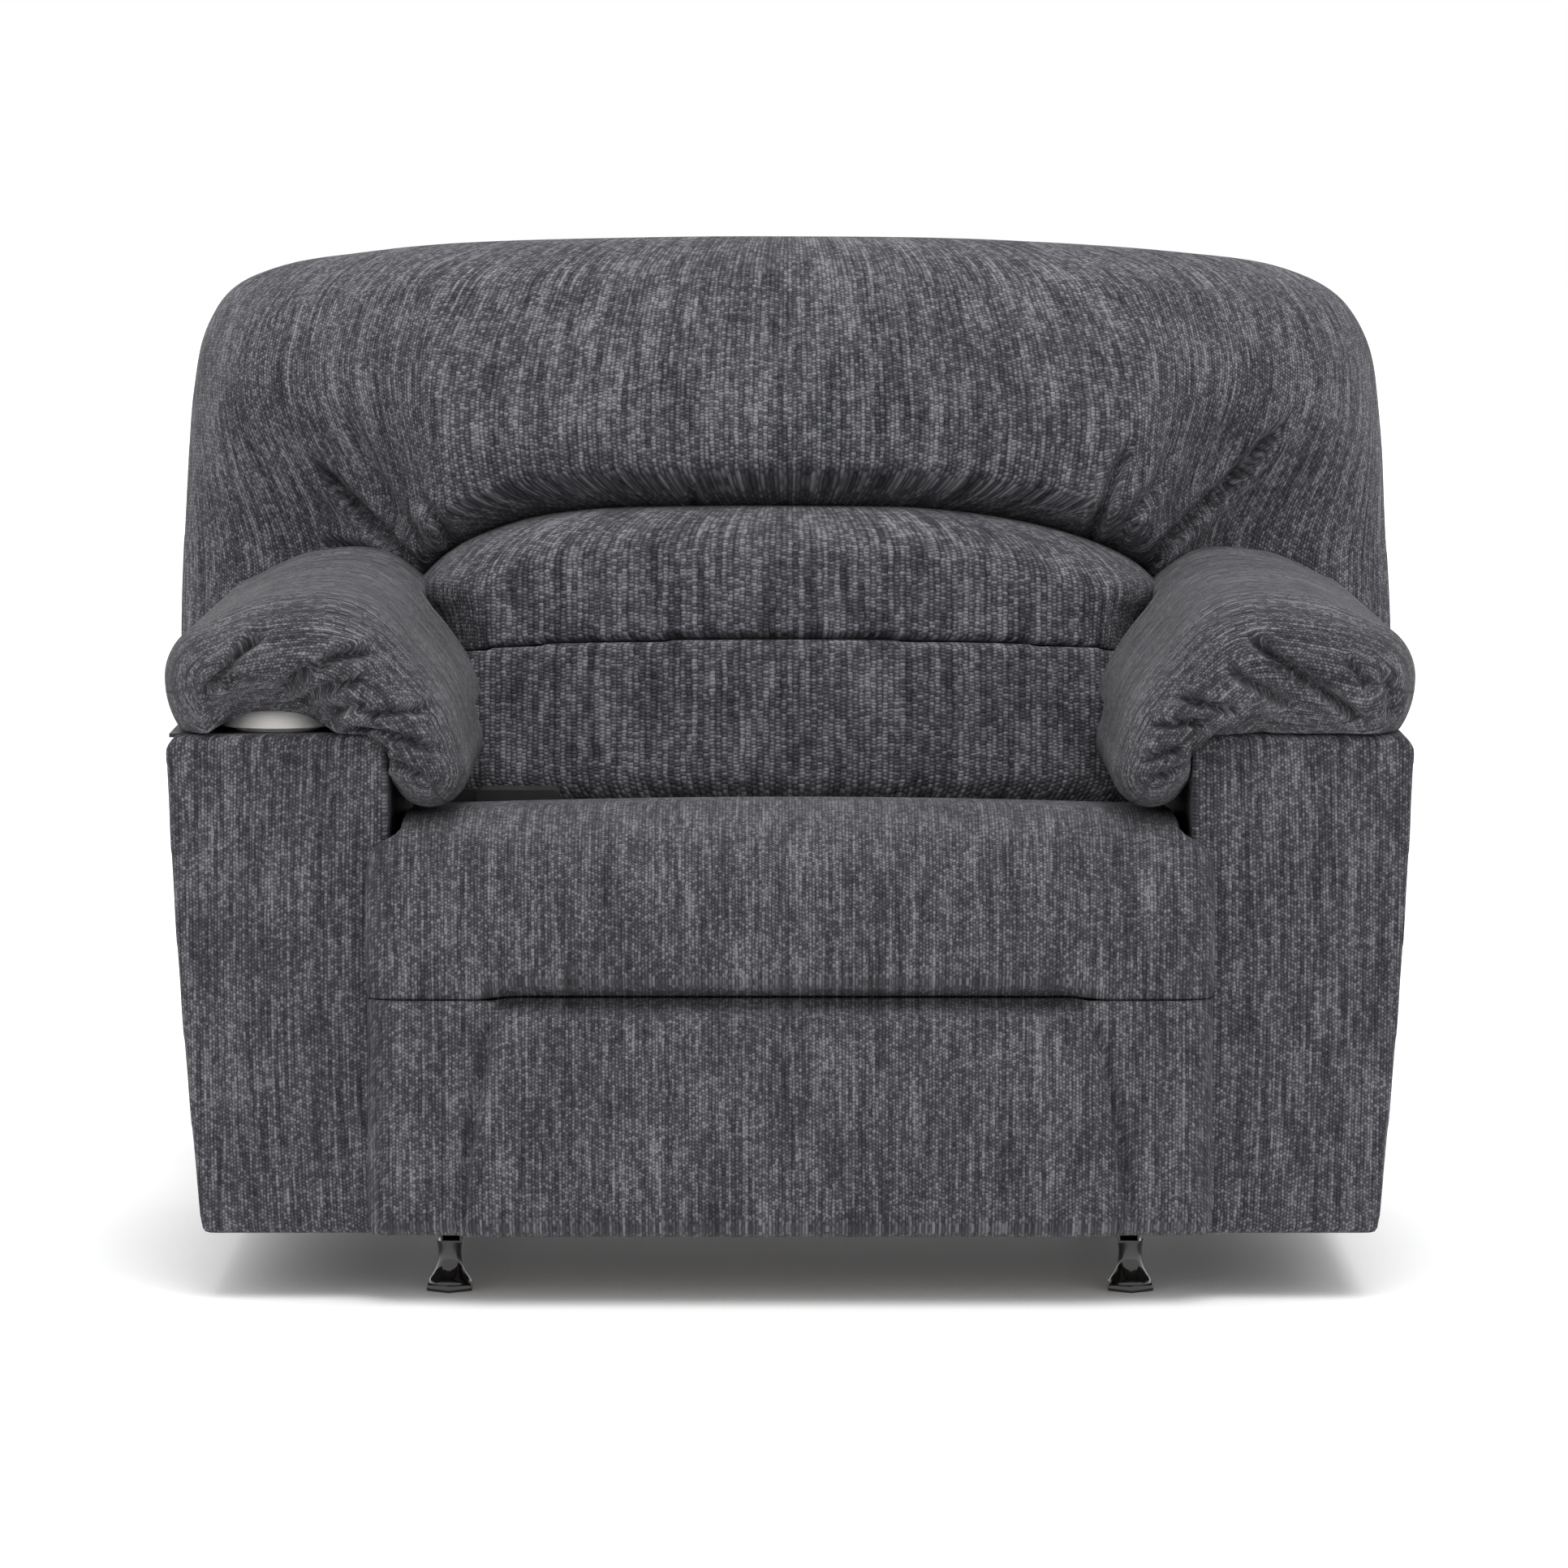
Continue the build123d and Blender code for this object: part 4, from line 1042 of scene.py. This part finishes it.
        points[:, 1] += (flat[:, 1] - points[:, 2]) * math.tan(self.lean) * ease(points[:, 1], -0.1, 0.05)
        points[:, 0], points[:, 2] = flat[:, 0] * sign, flat[:, 1]
        place(pad, points)
        flat = np.column_stack([points[:, 0] * sign, points[:, 2]])
        front = 1 - ease(points[:, 1], self.pillow_front + 0.05, self.pillow_front + 0.11)
        press(pad, self.folds[self.side], flat, front * (sunk < 0.002))
        points = places(pad)
        flat = np.column_stack([points[:, 0] * sign, points[:, 2]])
        near = reach(flat, line)
        length = np.linalg.norm(np.diff(line, axis=0), axis=1).sum()
        tangents = np.gradient(line, axis=0)
        tangents /= np.linalg.norm(tangents, axis=1)[:, None]
        marks = reach(line, line).share
        way = np.column_stack([np.interp(near.share, marks, part) for part in tangents.T])
        offset = flat - near.foot
        along = (offset * way).sum(axis=1)
        across = offset[:, 1] * way[:, 0] - offset[:, 0] * way[:, 1]
        turn = np.arcsin(np.clip(along / np.maximum(near.gap, 1e-6), -1, 1))
        over = np.where((near.share < 0.001) | (near.share > 0.999), near.gap * turn, 0.0)
        fast = np.where(across < 0, -1, 1) * (near.gap + np.maximum(points[:, 1] - self.pillow_front, 0))
        weave(pad, fast, near.share * length + over)

    def pillow(self, piece: str, cuts: Sequence[bpy.types.Object]) -> bpy.types.Object:
        """One pillow piece: the swept section less its cuts, filled and shaped."""
        outline, _ = self.section()
        pad = prism(self.name(piece), [(x * self.side.value, z) for x, z in outline], self.pillow_front, 0.32)
        inner_low = min(self.side.value * 0.25, self.side.value * 0.404)
        hang = self.beyond(-0.222)
        clip = hang.modifiers.new("inner", "BOOLEAN")
        block = brick("inner_block", (inner_low, -0.3, 0.3), (inner_low + 0.154, 0.9, 0.9))
        clip.object, clip.solver, clip.operation = block, "EXACT", "INTERSECT"
        bake(hang)
        bpy.data.objects.remove(block)
        notch = brick("notch", (inner_low, -0.09, 0.4), (inner_low + 0.154, 0.075, 0.580))
        for cutter in (hang, notch, *cuts):
            carve(pad, cutter)
        quilt(pad, 0.0030, 2)
        self.shape_pillow(pad)
        return pad

    def build_pillow(self) -> None:
        """Saddle pillow, in one piece, or split where the lid ends."""
        if self.side is Side.LEFT:
            pad = self.pillow("pillow_cover", [self.beyond(-0.062)])
            finish_pad(pad, self.finishes, "seat_body", ["left_arm_pillow"])
            return
        pad = self.pillow("pillow_cover", [self.beyond(-0.152)])
        finish_pad(pad, self.finishes, "arm_lid", ["right_arm_pillow"])
        rear = self.pillow("rear_pillow_cover", [self.beyond(-0.062), self.beyond(-0.148, -1.2)])
        finish_pad(rear, self.finishes, "seat_body", ["right_arm_rear_pillow"])

    def build(self) -> None:
        """The arm's soft pieces."""
        self.build_cover()
        self.build_pillow()


# ---------------------------------------------------------------- hard pieces
@dataclass
class Foot:
    """Glossy bell-shaped foot on a six-sided sole."""

    finishes: Finishes
    name: str
    centre: Point2
    height: float = 0.052
    sole_radius: float = 0.0275
    sole_thick: float = 0.0075
    bell: tuple[Point2, ...] = ((0.0225, 0.0075), (0.0215, 0.0105), (0.0175, 0.0165), (0.0140, 0.0240),
                                (0.0124, 0.0330), (0.0122, 0.0420), (0.0135, 0.0520))

    def build(self) -> bpy.types.Object:
        """Spun bell joined to its sole."""
        bm = bmesh.new()
        profile = smooth_line(self.bell, 4)
        verts = [bm.verts.new((r, 0, z)) for r, z in profile]
        edges = [bm.edges.new(pair) for pair in zip(verts, verts[1:])]
        bmesh.ops.spin(bm, geom=verts + edges, cent=(0, 0, 0), axis=(0, 0, 1),
                       angle=2 * math.pi, steps=48, use_merge=True)
        for edge_loop_z in (profile[0][1], profile[-1][1]):
            ring = [v for v in bm.verts if abs(v.co.z - edge_loop_z) < 1e-6]
            bmesh.ops.contextual_create(bm, geom=ring)
        sole = bmesh.ops.create_cone(bm, cap_ends=True, segments=6, radius1=self.sole_radius,
                                     radius2=self.sole_radius * 0.95, depth=self.sole_thick)["verts"]
        bmesh.ops.translate(bm, vec=(0, 0, self.sole_thick / 2), verts=sole)
        rims = [e for e in {e for v in sole for e in v.link_edges}]
        bmesh.ops.bevel(bm, geom=rims, offset=0.0012, segments=2, profile=0.5, affect="EDGES", material=-1)
        bmesh.ops.recalc_face_normals(bm, faces=bm.faces)
        bmesh.ops.translate(bm, vec=(*self.centre, 0), verts=bm.verts)
        foot = new_object(self.name, bm)
        shade_by_angle(foot)
        self.finishes.dress(foot, "gloss_black_plastic")
        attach(foot, "base")
        return foot


@dataclass
class CupHolder:
    """Turned cup with a sloped satin collar, let into the arm ahead of the lid's board."""

    finishes: Finishes
    steps: int = 72
    profile: tuple[Point2, ...] = (
        (0.0, 0.514), (0.036, 0.514), (0.0395, 0.518), (0.0440, 0.5885), (0.0596, 0.5885),
        (0.0604, 0.5895), (0.0600, 0.5915), (0.0520, 0.6045), (0.0495, 0.6070), (0.0470, 0.6075),
        (0.0452, 0.6060), (0.0380, 0.5190), (0.035, 0.5165), (0.0, 0.5165),
    )

    def build(self) -> bpy.types.Object:
        """Spins the cup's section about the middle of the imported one."""
        low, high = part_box("cup_holder")
        middle = (low + high) / 2
        bm = bmesh.new()
        verts = [bm.verts.new((middle.x + r, middle.y, z)) for r, z in self.profile]
        edges = [bm.edges.new(pair) for pair in zip(verts, verts[1:])]
        bmesh.ops.spin(bm, geom=verts + edges, cent=(middle.x, middle.y, 0), axis=(0, 0, 1),
                       angle=2 * math.pi,
                       steps=self.steps, use_merge=True)
        bmesh.ops.remove_doubles(bm, verts=bm.verts, dist=0.00005)
        bmesh.ops.recalc_face_normals(bm, faces=bm.faces)
        cup = new_object("satin_cup_holder", bm)
        shade_by_angle(cup)
        self.finishes.dress(cup, "steel_cup")
        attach(cup, "seat_body")
        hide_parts("cup_holder")
        return cup


def shade_by_angle(obj: bpy.types.Object, degrees: float = 35.0) -> None:
    """Smooth shading that stays crisp at edges sharper than an angle."""
    soften(obj)
    obj.data.set_sharp_from_angle(angle=math.radians(degrees))


# ---------------------------------------------------------------- studio
@dataclass
class Studio:
    """White floor and surround, soft light and the camera."""

    camera_place: tuple[float, float, float] = (-0.0062, -7.0, 1.24)
    pitch: float = math.radians(6.16)
    lens: float = 147.84
    floor_size: float = 60.0
    surround: float = 1.0
    key_strength: float = 1.7

    def build(self) -> None:
        """Everything that isn't the chair."""
        scene = bpy.context.scene
        scene.view_settings.view_transform = "Standard"
        world = bpy.data.worlds.new("white_surround")
        world.use_nodes = True
        world.node_tree.nodes["Background"].inputs["Color"].default_value = (1, 1, 1, 1)
        world.node_tree.nodes["Background"].inputs["Strength"].default_value = self.surround
        scene.world = world
        bm = bmesh.new()
        bmesh.ops.create_grid(bm, x_segments=1, y_segments=1, size=self.floor_size / 2)
        floor = new_object("studio_floor", bm)
        material, graph, shader = blank("studio_floor")
        spot = graph.put("ShaderNodeTexCoord")
        graph.feed(shader.inputs["Base Color"],
                   graph.blend(graph.noise(spot.outputs["Object"], 6.0), grey(0.93), grey(0.96)))
        shader.inputs["Roughness"].default_value = 0.55
        shader.inputs["Specular IOR Level"].default_value = 0.2
        floor.data.materials.append(material)
        data = bpy.data.lights.new("key_light", "SUN")
        data.energy, data.angle = self.key_strength, math.radians(35)
        key = bpy.data.objects.new("key_light", data)
        bpy.context.collection.objects.link(key)
        key.rotation_euler = Vector((0.10, -0.30, 0.95)).to_track_quat("Z", "Y").to_euler()
        self.lamp("top_light", (-0.4, -0.6, 3.8), 3.0, 20.0, Vector((0, 0.1, 0.4)))
        data = bpy.data.cameras.new("camera")
        data.lens, data.sensor_width, data.clip_end = self.lens, 36.0, 100.0
        camera = bpy.data.objects.new("camera", data)
        bpy.context.collection.objects.link(camera)
        camera.location = self.camera_place
        camera.rotation_euler = (math.pi / 2 - self.pitch, 0, 0)
        scene.camera = camera

    def lamp(self, name: str, spot: Sequence[float], size: float, power: float, target: Vector) -> None:
        """Square soft light aimed at a point."""
        data = bpy.data.lights.new(name, "AREA")
        data.size, data.energy = size, power
        lamp = bpy.data.objects.new(name, data)
        bpy.context.collection.objects.link(lamp)
        lamp.location = spot
        lamp.rotation_euler = (target - Vector(spot)).to_track_quat("-Z", "Y").to_euler()


def build_feet(finishes: Finishes) -> None:
    """Four feet under the base rails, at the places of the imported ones."""
    for node in ("front_feet", "rear_feet"):
        low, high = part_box(node)
        sole = (high.y - low.y) / 2
        middle = (low.y + high.y) / 2
        for side, x in (("right", low.x + sole), ("left", high.x - sole)):
            foot = Foot(finishes, f"{side}_{node.replace('feet', 'foot')}", (x, middle)).build()
            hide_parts(node)


def main() -> None:
    """Builds the chair's pieces in order, then the studio."""
    logging.basicConfig(level=logging.INFO, format="%(name)s %(message)s")
    finishes = Finishes()
    finishes.dress_frame()
    BackRest(finishes).build()
    Seat(finishes).build()
    Footrest(finishes).build()
    for side in Side:
        Arm(finishes, side).build()
    build_feet(finishes)
    CupHolder(finishes).build()
    Studio().build()


if __name__ == "__main__":
    main()
